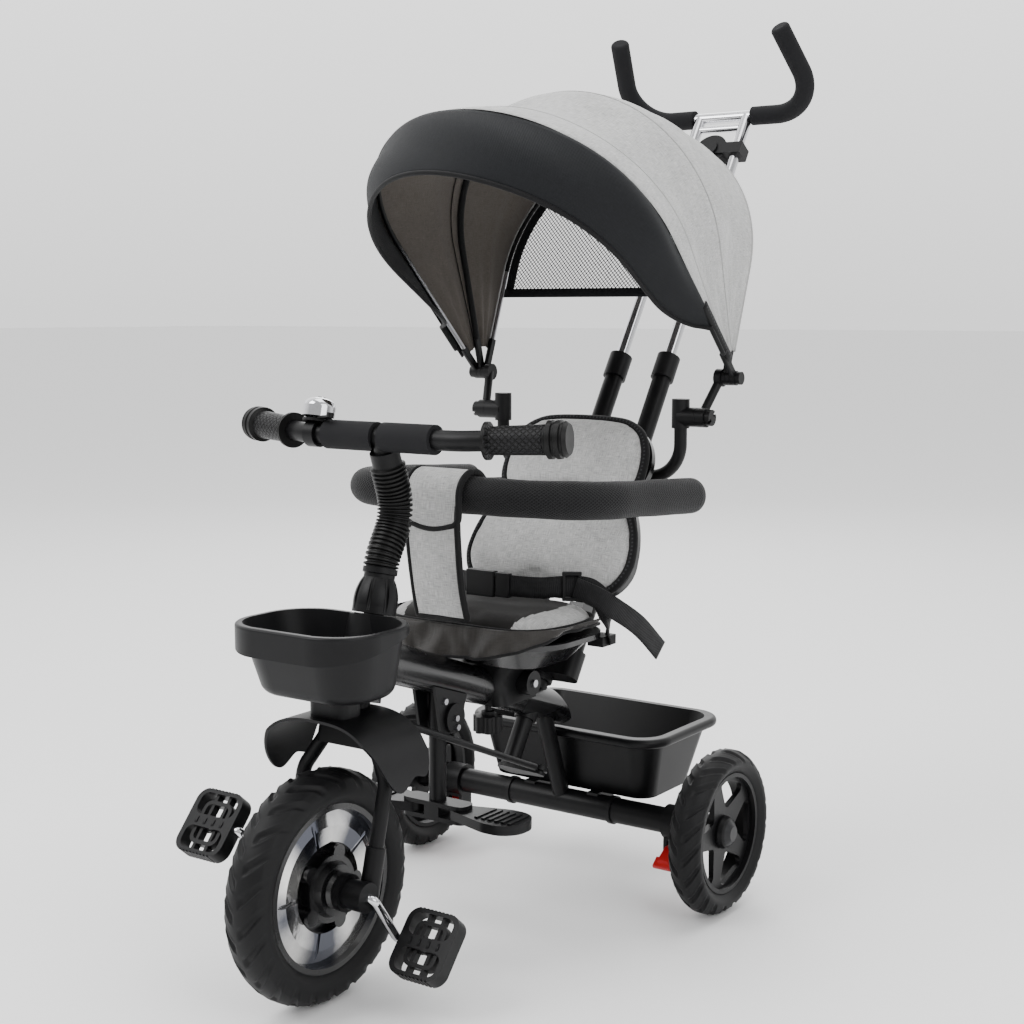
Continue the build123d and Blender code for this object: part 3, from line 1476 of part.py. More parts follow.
nodes = {
    "main_beam": main_beam,
    "rear_axle_frame": rear_axle_frame,
    "axle_rod": axle_rod,
    "axle_fittings": axle_fittings,
    "frame_bushes": frame_bushes,
    "seat_bracket": seat_bracket,
    "seat_knob": seat_knob,
    "footrest_post": footrest_post,
    "frame_bolts": frame_bolts,
    "rear_basket": rear_basket,
    "seat_shell": seat_shell,
    "seat_pad": seat_pad,
    "seat_skirt": seat_skirt,
    "backrest_shell": backrest_shell,
    "backrest_pad": backrest_pad,
    "guard_tube": guard_tube,
    "guard_foam": guard_foam,
    "crotch_panel": crotch_panel,
    "belt_webbing": belt_webbing,
    "belt_hardware": belt_hardware,
    "fork": fork,
    "fork_dropouts": fork_dropouts,
    "mudguard": mudguard,
    "front_basket": front_basket,
    "stem_tube": stem_tube,
    "stem_cap": stem_cap,
    "bellows": bellows,
    "handlebar_tube": handlebar_tube,
    "bar_pads": bar_pads,
    "bar_grips": bar_grips,
    "bell": bell,
    "bell_lever": bell_lever,
    "link_rod": link_rod,
    "front_tyre": front_tyre,
    "front_rim": front_rim,
    "wheel_lenses": wheel_lenses,
    "crank": crank,
    "left_pedal": left_pedal,
    "right_pedal": right_pedal,
    "left_rear_tyre": rear_tyre,
    "right_rear_tyre": lambda: mirrored(rear_tyre()),
    "left_rear_rim": rear_rim,
    "right_rear_rim": lambda: mirrored(rear_rim()),
    "left_brake_lever": brake_lever,
    "right_brake_lever": lambda: mirrored(brake_lever()),
    "left_footrest": footrest,
    "right_footrest": lambda: mirrored(footrest()),
    "push_yoke": push_yoke,
    "push_tubes": push_tubes,
    "push_frame": push_frame,
    "push_grips": push_grips,
    "push_spacer": push_spacer,
    "canopy_support_tube": canopy_support_tube,
    "canopy_clamps": canopy_clamps,
    "canopy_arms": canopy_arms,
    "mid_bow": mid_bow,
    "front_bow": front_bow,
    "canopy_cover": canopy_cover,
    "canopy_visor": canopy_visor,
    "canopy_window": canopy_window,
}


def main():
    os.makedirs("parts", exist_ok=True)
    for name, make in nodes.items():
        export_step(make(), os.path.join("parts", name + ".step"))


if __name__ == "__main__":
    main()
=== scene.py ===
import math
import bmesh
import bpy
import numpy as np
from mathutils import Matrix, Vector


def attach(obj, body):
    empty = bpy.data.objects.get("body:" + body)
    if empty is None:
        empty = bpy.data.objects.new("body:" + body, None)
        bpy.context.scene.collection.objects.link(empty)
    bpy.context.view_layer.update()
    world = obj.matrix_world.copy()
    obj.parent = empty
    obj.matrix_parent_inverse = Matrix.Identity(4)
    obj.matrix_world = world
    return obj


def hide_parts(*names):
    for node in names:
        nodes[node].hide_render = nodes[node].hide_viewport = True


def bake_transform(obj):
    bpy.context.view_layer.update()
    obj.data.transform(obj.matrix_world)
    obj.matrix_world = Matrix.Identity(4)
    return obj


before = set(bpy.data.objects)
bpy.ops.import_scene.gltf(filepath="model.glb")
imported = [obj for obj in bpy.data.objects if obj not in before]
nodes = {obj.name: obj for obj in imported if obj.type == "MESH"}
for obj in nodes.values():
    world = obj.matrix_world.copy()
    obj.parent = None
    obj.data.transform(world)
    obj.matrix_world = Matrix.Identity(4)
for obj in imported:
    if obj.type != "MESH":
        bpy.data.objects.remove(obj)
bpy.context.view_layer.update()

# Floor, light and camera.
# A pale studio floor and large soft lamps. The camera stands in front of the tricycle's left side,
# a little above the seat, as the photograph was taken.
floor_mesh = bpy.data.meshes.new("floor")
floor_mesh.from_pydata([(-60, -60, 0), (60, -60, 0), (60, 60, 0), (-60, 60, 0)], [], [(0, 1, 2, 3)])
floor = bpy.data.objects.new("floor", floor_mesh)
bpy.context.scene.collection.objects.link(floor)
floor_paint = bpy.data.materials.new("floor_paint")
floor_paint.use_nodes = True
floor_paint.node_tree.nodes["Principled BSDF"].inputs["Base Color"].default_value = (0.9, 0.9, 0.9, 1)
floor_paint.node_tree.nodes["Principled BSDF"].inputs["Roughness"].default_value = 0.7
floor_mesh.materials.append(floor_paint)


class Tone:
    """A shader socket with plain arithmetic and one way to make nodes."""

    def __init__(self, tree, out):
        self.tree = tree
        self.out = out

    def make(self, kind, inputs, output=0, **settings):
        node = self.tree.nodes.new(kind)
        for key, value in settings.items():
            setattr(node, key, value)
        for key, value in inputs.items():
            if isinstance(value, Tone):
                self.tree.links.new(value.out, node.inputs[key])
            else:
                node.inputs[key].default_value = value
        return Tone(self.tree, node.outputs[output])

    def math(self, operation, other=0.0):
        return self.make("ShaderNodeMath", {0: self, 1: other}, operation=operation)

    def __add__(self, other):
        return self.math("ADD", other)

    def __sub__(self, other):
        return self.math("SUBTRACT", other)

    def __mul__(self, other):
        return self.math("MULTIPLY", other)

    def clip(self, low, high, first=0.0, last=1.0):
        settings = {0: self, 1: low, 2: high, 3: first, 4: last}
        return self.make("ShaderNodeMapRange", settings)

    def axis(self, index):
        return self.make("ShaderNodeSeparateXYZ", {0: self}, output=index)

    def stretch(self, x, y, z):
        return self.make("ShaderNodeMapping", {0: self, 3: (x, y, z)})

    def noise(self, scale, detail=3.0):
        return self.make("ShaderNodeTexNoise", {"Vector": self, "Scale": scale, "Detail": detail})

    def between(self, first, second):
        settings = {0: self, 6: (*first, 1), 7: (*second, 1)}
        return self.make("ShaderNodeMix", settings, output=2, data_type="RGBA")


world = bpy.data.worlds.new("studio")
world.use_nodes = True
background = world.node_tree.nodes["Background"]
background.inputs["Color"].default_value = (1, 1, 1, 1)
heading = Tone(world.node_tree, world.node_tree.nodes.new("ShaderNodeTexCoord").outputs["Generated"])
bright_side = {0: heading, 1: (-0.572, 0.820, 0)}
toward = heading.make("ShaderNodeVectorMath", bright_side, output=1, operation="DOT_PRODUCT")
sky = toward.clip(-0.3, 0.75, 0.50, 1.60) * heading.axis(2).clip(0.0, 0.30, 0.84, 1.35)
world.node_tree.links.new(sky.out, background.inputs["Strength"])
bpy.context.scene.world = world
for name, place, aim, size, power in (
    ("key", (-1.6, -2.6, 3.2), (0, -0.1, 0.5), 2.2, 110),
    ("fill", (3.0, -1.0, 2.0), (0, -0.1, 0.5), 2.4, 50),
    ("top", (0.2, 0.4, 3.6), (0, -0.1, 0.4), 2.6, 60),
    ("rim", (-1.8, 2.6, 2.2), (0, 0, 0.6), 1.6, 30),
):
    lamp = bpy.data.lights.new(name, "AREA")
    lamp.size = size
    lamp.energy = power
    lamp_object = bpy.data.objects.new(name, lamp)
    lamp_object.location = place
    lamp_object.rotation_euler = (Vector(aim) - Vector(place)).to_track_quat("-Z", "Y").to_euler()
    bpy.context.scene.collection.objects.link(lamp_object)

camera_turn = math.radians(34.87)
camera_pitch = math.radians(7.40)
picture_width = 1024
focal_length = 1624.2
centre_x, centre_y = 514.0, 522.8
camera_data = bpy.data.cameras.new("camera")
camera_data.sensor_width = 36
camera_data.lens = camera_data.sensor_width * focal_length / picture_width
camera_data.shift_x = (picture_width / 2 - centre_x) / picture_width
camera_data.shift_y = (centre_y - picture_width / 2) / picture_width
camera = bpy.data.objects.new("camera", camera_data)
camera.location = (1.1112, -1.7050, 0.7243)
camera.rotation_euler = (math.pi / 2 - camera_pitch, 0, camera_turn)
bpy.context.scene.collection.objects.link(camera)
bpy.context.scene.camera = camera

# Painted steel frame.
# Tubes of the frame, the fork, the steering stem, the handlebar and the push handle's lower half.
# The main beam is in gloss black enamel, the others in satin paint, both with a faint orange peel.


class Finish:
    """A new principled material and the coordinates that its detail is drawn on."""

    def __init__(self, name, rough, metal=0.0, coat=0.0, sheen=0.0, coords="Object"):
        self.material = bpy.data.materials.new(name)
        self.material.use_nodes = True
        self.tree = self.material.node_tree
        self.shader = self.tree.nodes["Principled BSDF"]
        settings = {"Roughness": rough, "Metallic": metal, "Coat Weight": coat, "Coat Roughness": 0.12}
        settings.update({"Sheen Weight": sheen, "Sheen Roughness": 0.5})
        settings["Specular IOR Level"] = 0.5 if metal or coat else 0.2
        for socket, value in settings.items():
            self.shader.inputs[socket].default_value = value
        self.at = Tone(self.tree, self.tree.nodes.new("ShaderNodeTexCoord").outputs[coords])

    def feed(self, socket, tone):
        self.tree.links.new(tone.out, self.shader.inputs[socket])

    def bump(self, height, strength, distance):
        settings = {"Height": height, "Strength": strength, "Distance": distance}
        self.feed("Normal", height.make("ShaderNodeBump", settings))


def moulded(name, dark, light, rough, grain, depth, metal=0.0, coat=0.0):
    """Paint or moulded plastic: two close shades, uneven gloss and a fine grain."""
    finish = Finish(name, rough, metal, coat)
    cloud = finish.at.noise(14, 5)
    speck = finish.at.noise(grain, 2)
    finish.feed("Base Color", (cloud * 0.7 + speck * 0.3).clip(0.3, 0.7).between(dark, light))
    finish.feed("Roughness", cloud * 0.16 + (rough - 0.08))
    finish.bump(speck, 0.25, depth)
    return finish.material


def dress(material, *names):
    """Give whole CAD nodes one material, with soft shading across small facets."""
    for name in names:
        mesh = nodes[name].data
        mesh.materials.clear()
        mesh.materials.append(material)
        mesh.polygons.foreach_set("use_smooth", [True] * len(mesh.polygons))
        mesh.set_sharp_from_angle(angle=math.radians(32))


def patch(name, material, chosen):
    """Give the faces of a CAD node whose centre is chosen a second material."""
    mesh = nodes[name].data
    mesh.materials.append(material)
    for face in mesh.polygons:
        if chosen(face.center):
            face.material_index = len(mesh.materials) - 1


deep_black = ((0.002, 0.002, 0.0024), (0.005, 0.005, 0.0056))
enamel = moulded("enamel", *deep_black, 0.27, 900, 0.00002, coat=0.3)
dress(enamel, "main_beam")
satin_paint = moulded("satin_paint", (0.002, 0.002, 0.0024), (0.006, 0.006, 0.0066), 0.42, 900, 0.00003)
dress(satin_paint, "handlebar_tube", "push_tubes", "rear_axle_frame", "fork", "stem_tube")
dress(satin_paint, "canopy_support_tube", "guard_tube")

# Chrome and bare steel.
# The bent crank, the telescopic push frame, the bell's dome, the bows' legs and the small screws,
# polished or brushed, with faint smudges.
chrome = moulded("chrome", (0.62, 0.62, 0.64), (0.72, 0.72, 0.74), 0.12, 300, 0.00001, metal=1.0)
steel = moulded("steel", (0.40, 0.40, 0.42), (0.55, 0.55, 0.57), 0.30, 500, 0.00002, metal=1.0)
dress(chrome, "crank", "push_frame")
dress(steel, "axle_rod", "frame_bolts")

# Black moulded fittings.
# Clamps, bosses, pedals, knob, bracket, footrests, shells, rims, rear basket and knurled grips,
# in satin or gloss black with a spark-eroded grain.
nylon = moulded("nylon", (0.0025, 0.0025, 0.003), (0.007, 0.007, 0.0075), 0.42, 1400, 0.00006)
gloss = moulded("gloss_plastic", *deep_black, 0.28, 500, 0.00002, coat=0.2)
dress(nylon, "axle_fittings", "frame_bushes", "seat_bracket", "seat_knob", "footrest_post")
dress(nylon, "fork_dropouts", "stem_cap", "bell", "bell_lever", "link_rod", "left_pedal", "right_pedal")
dress(nylon, "left_footrest", "right_footrest", "push_yoke", "push_spacer", "canopy_clamps")
dress(nylon, "canopy_arms", "mid_bow", "front_bow")
dress(gloss, "seat_shell", "backrest_shell", "front_rim")
rim_black = moulded("rim_black", *deep_black, 0.38, 700, 0.00003)
dress(rim_black, "rear_basket", "left_rear_rim", "right_rear_rim")
hub = Vector((0, 0.083, 0.644))
leg_start, leg_end = 0.047, 0.125
for bow in ("canopy_arms", "mid_bow", "front_bow"):
    patch(bow, steel, lambda p: leg_start < (p - hub).yz.length < leg_end and p.z > hub.z)
patch("link_rod", steel, lambda p: p.y < -0.361)
cap_grey = moulded("cap_grey", (0.012, 0.012, 0.013), (0.025, 0.025, 0.027), 0.34, 800, 0.00003)
for side, rim in ((1, "left_rear_rim"), (-1, "right_rear_rim")):
    patch(rim, cap_grey, lambda p, s=side: s * p.x > 0.2412)
bell_x, bell_ahead = -0.093, 0.033
dome_foot, dome_hole = 0.4968, 0.0031
lean = math.radians(14.6)
steer_origin = Vector((0, -0.44871, 0.11945))
steer_up = Vector((0, math.sin(lean), math.cos(lean)))
steer_back = Vector((0, math.cos(lean), -math.sin(lean)))


def on_dome(p):
    """Whether a place lies on the bell's chromed dome, away from its screw."""
    away = p - steer_origin
    height = away.dot(steer_up)
    radius = math.hypot(p.x - bell_x, away.dot(steer_back) + bell_ahead)
    return height > dome_foot and radius > dome_hole


patch("bell", chrome, on_dome)
knurl = Finish("grip_knurl", 0.5)
grip_aim = (Vector((0.110, 0, 0)) + steer_back * 0.031 + steer_up * 0.013).normalized()
grip_end = steer_origin + Vector((0.215, 0, 0)) + steer_back * -0.002 + steer_up * 0.492
grip_side = grip_aim.cross(steer_up).normalized()
grip_over = grip_side.cross(grip_aim)
mirror_x = knurl.at.axis(0).math("ABSOLUTE")
grip_at = knurl.at.make("ShaderNodeCombineXYZ", {0: mirror_x, 1: knurl.at.axis(1), 2: knurl.at.axis(2)})
grip_at = grip_at.make("ShaderNodeVectorMath", {0: grip_at, 1: tuple(grip_end)}, operation="SUBTRACT")


def grip_axis(direction):
    """How far a place lies from the grip's end along one direction."""
    pair = {0: grip_at, 1: tuple(direction)}
    return grip_at.make("ShaderNodeVectorMath", pair, output=1, operation="DOT_PRODUCT")


grip_run = grip_axis(grip_aim)
grip_turn = grip_axis(grip_over).math("ARCTAN2", grip_axis(grip_side))
grip_rows = grip_run * (1 / 0.0075)
grip_studs = grip_turn * (14 / (2 * math.pi))
grip_a = ((grip_rows + grip_studs).math("FRACT") - 0.5).math("ABSOLUTE")
grip_b = ((grip_rows - grip_studs).math("FRACT") - 0.5).math("ABSOLUTE")
grip_stud = (grip_a.math("MAXIMUM", grip_b) * -1.0 + 0.5).clip(0.06, 0.20)
grip_zone = (grip_run + 0.0835).clip(0, 0.001) * ((grip_run + 0.0215) * -1.0).clip(0, 0.001)
# The studs are painted lighter and the grooves between them darker, as painted highlight and painted
# shade.
knurl.feed("Base Color", (grip_stud * grip_zone).between((0.004, 0.004, 0.004), (0.012, 0.012, 0.013)))
knurl.feed("Roughness", knurl.at.noise(40, 3) * 0.2 + 0.34)
knurl.bump(grip_stud * grip_zone, 1.0, 0.0022)
dress(knurl.material, "bar_grips")

# Front basket and mudguard.
# Thick satin black mouldings with a visible grain.
basket_grey = moulded("basket_grey", (0.003, 0.003, 0.0034), (0.008, 0.008, 0.009), 0.42, 1100, 0.0001)
dress(basket_grey, "front_basket", "mudguard")

# Red foot brakes.
# Two glossy red levers below the axle tube.
red = moulded("brake_red", (0.42, 0.006, 0.008), (0.56, 0.012, 0.014), 0.3, 700, 0.00003, coat=0.3)
dress(red, "left_brake_lever", "right_brake_lever")

# Tyres.
# Foamed rubber, dull black, with deep curved grooves across both shoulders of the tread.
# Each takes the place of the plain ring and is turned on the same wheel.


def build(name, points, faces, *materials):
    """A smooth mesh object at the origin."""
    mesh = bpy.data.meshes.new(name)
    mesh.from_pydata([tuple(p) for p in points], [], faces)
    mesh.polygons.foreach_set("use_smooth", [True] * len(mesh.polygons))
    for material in materials:
        mesh.materials.append(material)
    made = bpy.data.objects.new(name, mesh)
    bpy.context.scene.collection.objects.link(made)
    return made


def face_outward(made):
    """Turn all faces of a closed piece outward."""
    sides = bmesh.new()
    sides.from_mesh(made.data)
    bmesh.ops.recalc_face_normals(sides, faces=sides.faces)
    sides.to_mesh(made.data)
    sides.free()


def arc_through(a, b, c, count):
    """Points on the circle arc through three places."""
    (ax, ay), (bx, by), (cx, cy) = a, b, c
    d = 2 * (ax * (by - cy) + bx * (cy - ay) + cx * (ay - by))
    ux = ((ax**2 + ay**2) * (by - cy) + (bx**2 + by**2) * (cy - ay) + (cx**2 + cy**2) * (ay - by)) / d
    uy = ((ax**2 + ay**2) * (cx - bx) + (bx**2 + by**2) * (ax - cx) + (cx**2 + cy**2) * (bx - ax)) / d
    start = math.atan2(ay - uy, ax - ux)
    swing = (math.atan2(cy - uy, cx - ux) - start + math.pi) % (2 * math.pi) - math.pi
    radius = math.hypot(ax - ux, ay - uy)
    turns = start + swing * np.linspace(0, 1, count)
    return [(ux + radius * math.cos(t), uy + radius * math.sin(t)) for t in turns]


def tread_tyre(name, node, body, centre, width, radius, rim, count, steps):
    """A tyre as a turned grid whose tread is pressed in along curved grooves."""
    half = width / 2
    wall = radius - rim
    shoulder = (half - 0.004, radius - 0.008)
    section = [(half - 0.007, rim), (half - 0.004, rim + 0.004), (half - 0.001, rim + 0.008)]
    section += arc_through(section[-1], (half, rim + 0.44 * wall), shoulder, 12)[1:]
    section += arc_through(section[-1], (0, radius), (-shoulder[0], shoulder[1]), 34)[1:]
    section += [(-x, r) for x, r in reversed(section[:14])]
    section = np.array(section)
    turn = np.linspace(0, 2 * math.pi, steps, endpoint=False)
    side = section[:, 0] / half
    reach = np.clip((section[:, 1] - (rim + 0.42 * wall)) / (0.25 * wall), 0, 1)
    out = np.abs(side)
    phase = turn[:, None] * count / (2 * math.pi) + 0.9 * out[None] ** 1.6 + 0.5 * (side[None] > 0)
    away = np.abs((phase % 1) - 0.5)
    groove_edge, groove_ramp = 0.30, 0.13
    bare_middle, middle_ramp = 0.10, 0.14
    deepest, ridge_height = 0.0026, 0.0009
    groove = np.clip((away - groove_edge) / groove_ramp, 0, 1)
    groove = groove * groove * (3 - 2 * groove)
    span = np.clip((out - bare_middle) / middle_ramp, 0, 1) * reach
    depth = deepest * groove * span[None]
    ridge = ridge_height * np.clip(1 - np.abs(away - 0.27) / 0.06, 0, 1) * span[None]
    wear = np.maximum(radius - section[:, 1], 0)[None]
    length = section[None, :, 1] - depth + np.minimum(ridge, wear)
    across = centre[0] + section[None, :, 0] * (1 - 0.010 * depth / deepest)
    along = centre[1] + length * np.cos(turn)[:, None]
    up = centre[2] + length * np.sin(turn)[:, None]
    grid = np.stack([across, along, up], 2)
    rows, columns = grid.shape[:2]
    faces = []
    for i in range(rows):
        n = (i + 1) % rows
        for k in range(columns):
            m = (k + 1) % columns
            faces.append((i * columns + k, n * columns + k, n * columns + m, i * columns + m))
    finish = Finish(name, 0.6)
    speck = finish.at.noise(1500, 2)
    cloud = finish.at.noise(9, 4)
    shade = (cloud * 0.6 + speck * 0.4).clip(0.25, 0.75)
    finish.feed("Base Color", shade.between((0.0025, 0.0025, 0.003), (0.008, 0.008, 0.0085)))
    finish.feed("Roughness", cloud * 0.2 + 0.42)
    finish.bump(speck, 0.3, 0.0002)
    made = build(name, grid.reshape(-1, 3), faces, finish.material)
    face_outward(made)
    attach(made, body)
    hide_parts(node)


tread_tyre("front_tread", "front_tyre", "front_wheel", (0, -0.470, 0.125), 0.052, 0.125, 0.090, 24, 528)
for side, x in (("left", 0.226), ("right", -0.226)):
    node, body = side + "_rear_tyre", side + "_rear_wheel"
    tread_tyre(side + "_tread", node, body, (x, 0, 0.100), 0.042, 0.100, 0.073, 22, 462)

# Front wheel lenses.
# Smoky clear panels over a silvery back, between the black rim and the lobed hub.
# Their light and dark petals round the hub are painted reflection and painted shade.
lens = Finish("lens", 0.07, 0.9, 0.8)
lens_y = lens.at.axis(1) + 0.470
lens_z = lens.at.axis(2) - 0.125
lens_turn = lens_z.math("ARCTAN2", lens_y)
# Painted reflection and painted shade: lighter and darker petals by angle round the hub.
lens_painted_light = (lens_turn * 5.0 + 0.6).math("SINE") * 0.3 + (lens_turn * 2.0 + 1.9).math("SINE") * 0.25
lens_cloud = lens.at.noise(26, 4)
lens_shine = (lens_painted_light + lens_cloud).clip(0.25, 0.95)
lens.feed("Base Color", lens_shine.between((0.05, 0.055, 0.075), (0.80, 0.79, 0.77)))
lens.feed("Roughness", lens_cloud * 0.14 + 0.03)
lens.bump(lens_cloud, 0.35, 0.002)
dress(lens.material, "wheel_lenses")

# Rubber bellows.
# Ribbed matt rubber over the bent steering stem.
bellows_rubber = moulded("bellows_rubber", (0.004,) * 3, (0.009,) * 3, 0.42, 1200, 0.00004)
dress(bellows_rubber, "bellows")

# Foam sleeves.
# Closed-cell foam on the handlebar and on the push handle's horns, dark grey and porous.
foam = moulded("foam", (0.005, 0.005, 0.006), (0.013, 0.013, 0.0145), 0.8, 1600, 0.00018)
dress(foam, "bar_pads", "push_grips")

# Seat pad.
# A stuffed pad on the seat shell: dark centre and light side panels, with a bound edge.
# It is swollen by a short cloth simulation from the shape of its solid.


def places_of(mesh):
    """The places of all vertices of a mesh."""
    co = np.zeros(len(mesh.vertices) * 3)
    mesh.vertices.foreach_get("co", co)
    return co.reshape(-1, 3)


def evaluated(made):
    """A piece as its modifiers leave it."""
    return made.evaluated_get(bpy.context.evaluated_depsgraph_get())


def unit(rays):
    """The same directions with length one."""
    return rays / np.maximum(np.linalg.norm(rays, axis=-1, keepdims=True), 1e-12)


def run_along(line):
    """How far each place lies along a line."""
    return np.concatenate([[0], np.cumsum(np.linalg.norm(np.diff(line, axis=0), axis=1))])


def lay_uv(made, pairs):
    """Store one place on the flat cloth, in metres, for each vertex."""
    layer = made.data.uv_layers.new(name="cloth")
    index = np.zeros(len(made.data.loops), np.int32)
    made.data.loops.foreach_get("vertex_index", index)
    layer.data.foreach_set("uv", np.asarray(pairs, np.float32)[index].ravel())


def woven(name, dark, light, rough, thread, slub, sheen=0.3, crease=0.0):
    """Woven cloth: crossing threads with uneven, streaky yarn."""
    finish = Finish(name, rough, sheen=sheen, coords="UV")
    u = finish.at.axis(0)
    v = finish.at.axis(1)
    warp = (u * (math.pi / thread)).math("SINE")
    weft = (v * (math.pi / thread)).math("SINE")
    across = finish.at.stretch(90, 1500, 1).noise(1.0, 4)
    along = finish.at.stretch(1500, 90, 1).noise(1.0, 4)
    cloud = finish.at.noise(16, 3)
    yarn = across * 0.42 + along * 0.42 + cloud * 0.16
    finish.feed("Base Color", yarn.clip(0.5 - slub, 0.5 + slub).between(dark, light))
    finish.feed("Roughness", cloud * 0.1 + (rough - 0.05))
    weave = warp * weft * 0.5 + yarn * 0.8
    if crease:
        weave = weave + finish.at.stretch(55, 18, 1).noise(1.0, 3) * crease
    finish.bump(weave, 0.55, 0.00035)
    return finish.material


def between_stops(a, b, c, d, t):
    """A share of the way from b to c on a smooth line through four places."""
    bend = (2 * a - 5 * b + 4 * c - d) * t**2 + (3 * b - a - 3 * c + d) * t**3
    return 0.5 * (2 * b + (c - a) * t + bend)


def loop_through(stops, count):
    """Points spaced evenly on a smooth closed line through the stops."""
    stops = np.asarray(stops, float)
    total = len(stops)
    fine = []
    for i in range(total):
        a, b, c, d = (stops[(i + k) % total] for k in (-1, 0, 1, 2))
        for t in np.linspace(0, 1, 24, endpoint=False):
            fine.append(between_stops(a, b, c, d, t))
    fine = np.array(fine + [fine[0]])
    run = run_along(fine)
    at = np.linspace(0, run[-1], count, endpoint=False)
    return np.stack([np.interp(at, run, fine[:, k]) for k in range(fine.shape[1])], 1)


def both_sides(half):
    """Close an outline that is drawn on one half, from the middle of one end to that of the other."""
    return half + [(-x, s) for x, s in reversed(half[1:-1])]


def stuffed(name, rim, layers, place, *materials):
    """A closed pad from one outline, scaled about its middle and set at a height for each layer."""
    middle = rim.mean(0)
    points = [place(*middle, layers[0][1])]
    faces = []
    count = len(rim)
    for share, height in layers:
        points += [place(*(middle + (p - middle) * share), height) for p in rim]
    points.append(place(*middle, layers[-1][1]))
    for i in range(count):
        j = (i + 1) % count
        faces.append((0, 1 + j, 1 + i))
        for k in range(len(layers) - 1):
            low = 1 + k * count
            faces.append((low + i, low + j, low + count + j, low + count + i))
        last = 1 + (len(layers) - 1) * count
        faces.append((len(points) - 1, last + i, last + j))
    made = build(name, points, faces, *materials)
    face_outward(made)
    return made


def swell(made, cap, voxel=0.005):
    """Even out a pad's mesh, blow it up with a short cloth simulation and cap how far a point moves."""
    scene = bpy.context.scene
    remesh = made.modifiers.new("even", "REMESH")
    remesh.mode = "VOXEL"
    remesh.voxel_size = voxel
    fresh = bpy.data.meshes.new_from_object(evaluated(made))
    made.modifiers.clear()
    made.data = fresh
    start = places_of(fresh)
    end = start
    cloth = made.modifiers.new("air", "CLOTH")
    cloth.settings.use_pressure = True
    cloth.settings.uniform_pressure_force = 4
    cloth.settings.effector_weights.gravity = 0
    cloth.settings.quality = 4
    for step in range(1, 21):
        scene.frame_set(step)
    end = places_of(evaluated(made).data)
    made.modifiers.clear()
    scene.frame_set(1)
    shift = end - start
    length = np.linalg.norm(shift, axis=1, keepdims=True)
    end = start + shift * np.minimum(1, cap / np.maximum(length, 1e-9))
    fresh.vertices.foreach_set("co", end.ravel())
    smooth = made.modifiers.new("ease", "SMOOTH")
    smooth.factor = 0.5
    smooth.iterations = 4
    finer = made.modifiers.new("finer", "SUBSURF")
    finer.levels = 1
    done = bpy.data.meshes.new_from_object(evaluated(made))
    made.modifiers.clear()
    made.data = done
    done.polygons.foreach_set("use_smooth", [True] * len(done.polygons))


def flat_uv(made, across, along, origin):
    """Lay the weave square on a pad, seen from its front."""
    co = places_of(made.data) - np.array(origin)
    lay_uv(made, np.stack([co @ np.array(across), co @ np.array(along)], 1))


def edging(name, line, radius, material, closed=False, flat=1.0, up=(0, 0, 1), sides=10):
    """A round or flattened cord of cloth along a line, with its length stored for the stitches."""
    line = np.asarray(line, float)
    if closed:
        ahead = np.roll(line, -1, 0) - np.roll(line, 1, 0)
    else:
        ahead = np.gradient(line, axis=0)
    ahead = unit(ahead)
    side = unit(np.cross(ahead, np.array(up, float)))
    over = np.cross(side, ahead)
    turn = np.linspace(0, 2 * math.pi, sides, endpoint=False)
    points = (
        line[:, None]
        + radius * np.cos(turn)[None, :, None] * side[:, None]
        + radius * flat * np.sin(turn)[None, :, None] * over[:, None]
    )
    rows = len(line)
    run = run_along(line)
    faces = []
    for i in range(rows if closed else rows - 1):
        n = (i + 1) % rows
        for k in range(sides):
            m = (k + 1) % sides
            faces.append((i * sides + k, i * sides + m, n * sides + m, n * sides + k))
    if not closed:
        faces.append(tuple(range(sides - 1, -1, -1)))
        faces.append(tuple(range((rows - 1) * sides, rows * sides)))
    made = build(name, points.reshape(-1, 3), faces, material)
    pairs = np.stack(np.broadcast_arrays(run[:, None], (np.arange(sides) / sides)[None]), 2)
    lay_uv(made, pairs.reshape(-1, 2))
    return made


melange = woven("melange", (0.22, 0.22, 0.22), (0.64, 0.64, 0.63), 0.88, 0.0011, 0.15, 0.15)
satin = woven("dark_satin", (0.010, 0.009, 0.008), (0.040, 0.036, 0.033), 0.36, 0.0009, 0.25, 0.2, 9.0)
dark_pad = woven("dark_pad", (0.006, 0.006, 0.006), (0.022, 0.020, 0.019), 0.72, 0.0013, 0.22, 0.08)
tape = Finish("binding_tape", 0.7, sheen=0.05, coords="UV")
tape_u = tape.at.axis(0)
tape_rib = (tape_u * (2 * math.pi / 0.0016)).math("SINE")
tape_dash = (tape_u * (1 / 0.005)).math("FRACT").clip(0.55, 0.65)
tape_line = ((tape.at.axis(1) - 0.22).math("ABSOLUTE") * -1.0 + 0.05).clip(0.0, 0.03)
tape.feed("Base Color", (tape_dash * tape_line).between((0.004, 0.004, 0.0045), (0.03, 0.03, 0.033)))
tape.bump(tape_rib * 0.4 + tape_dash * tape_line, 0.5, 0.0003)
tape = tape.material

seat_half = [(0, -0.234), (0.075, -0.233), (0.107, -0.214), (0.119, -0.180), (0.120, -0.140)]
seat_half += [(0.108, -0.102), (0.075, -0.084), (0, -0.083)]
seat_rim = loop_through(both_sides(seat_half), 96)
seat_layers = [(0.94, 0.3550), (0.99, 0.3585), (1.0, 0.3635), (0.985, 0.3690)]
seat_layers += [(0.93, 0.3745), (0.80, 0.3780), (0.5, 0.3795), (0.2, 0.3800)]
seat_pad = stuffed("seat_cushion", seat_rim, seat_layers, lambda x, y, z: (x, y, z), dark_pad, melange)
swell(seat_pad, 0.004)
seam_x, seam_y, seam_bend, panel_foot = 0.088, -0.16, 2.5, 0.366
for face in seat_pad.data.polygons:
    seam_here = seam_x - seam_bend * (face.center.y - seam_y) ** 2
    face.material_index = 1 if abs(face.center.x) > seam_here and face.center.z > panel_foot else 0
flat_uv(seat_pad, (1, 0, 0), (0, 1, 0), (0, -0.158, 0))
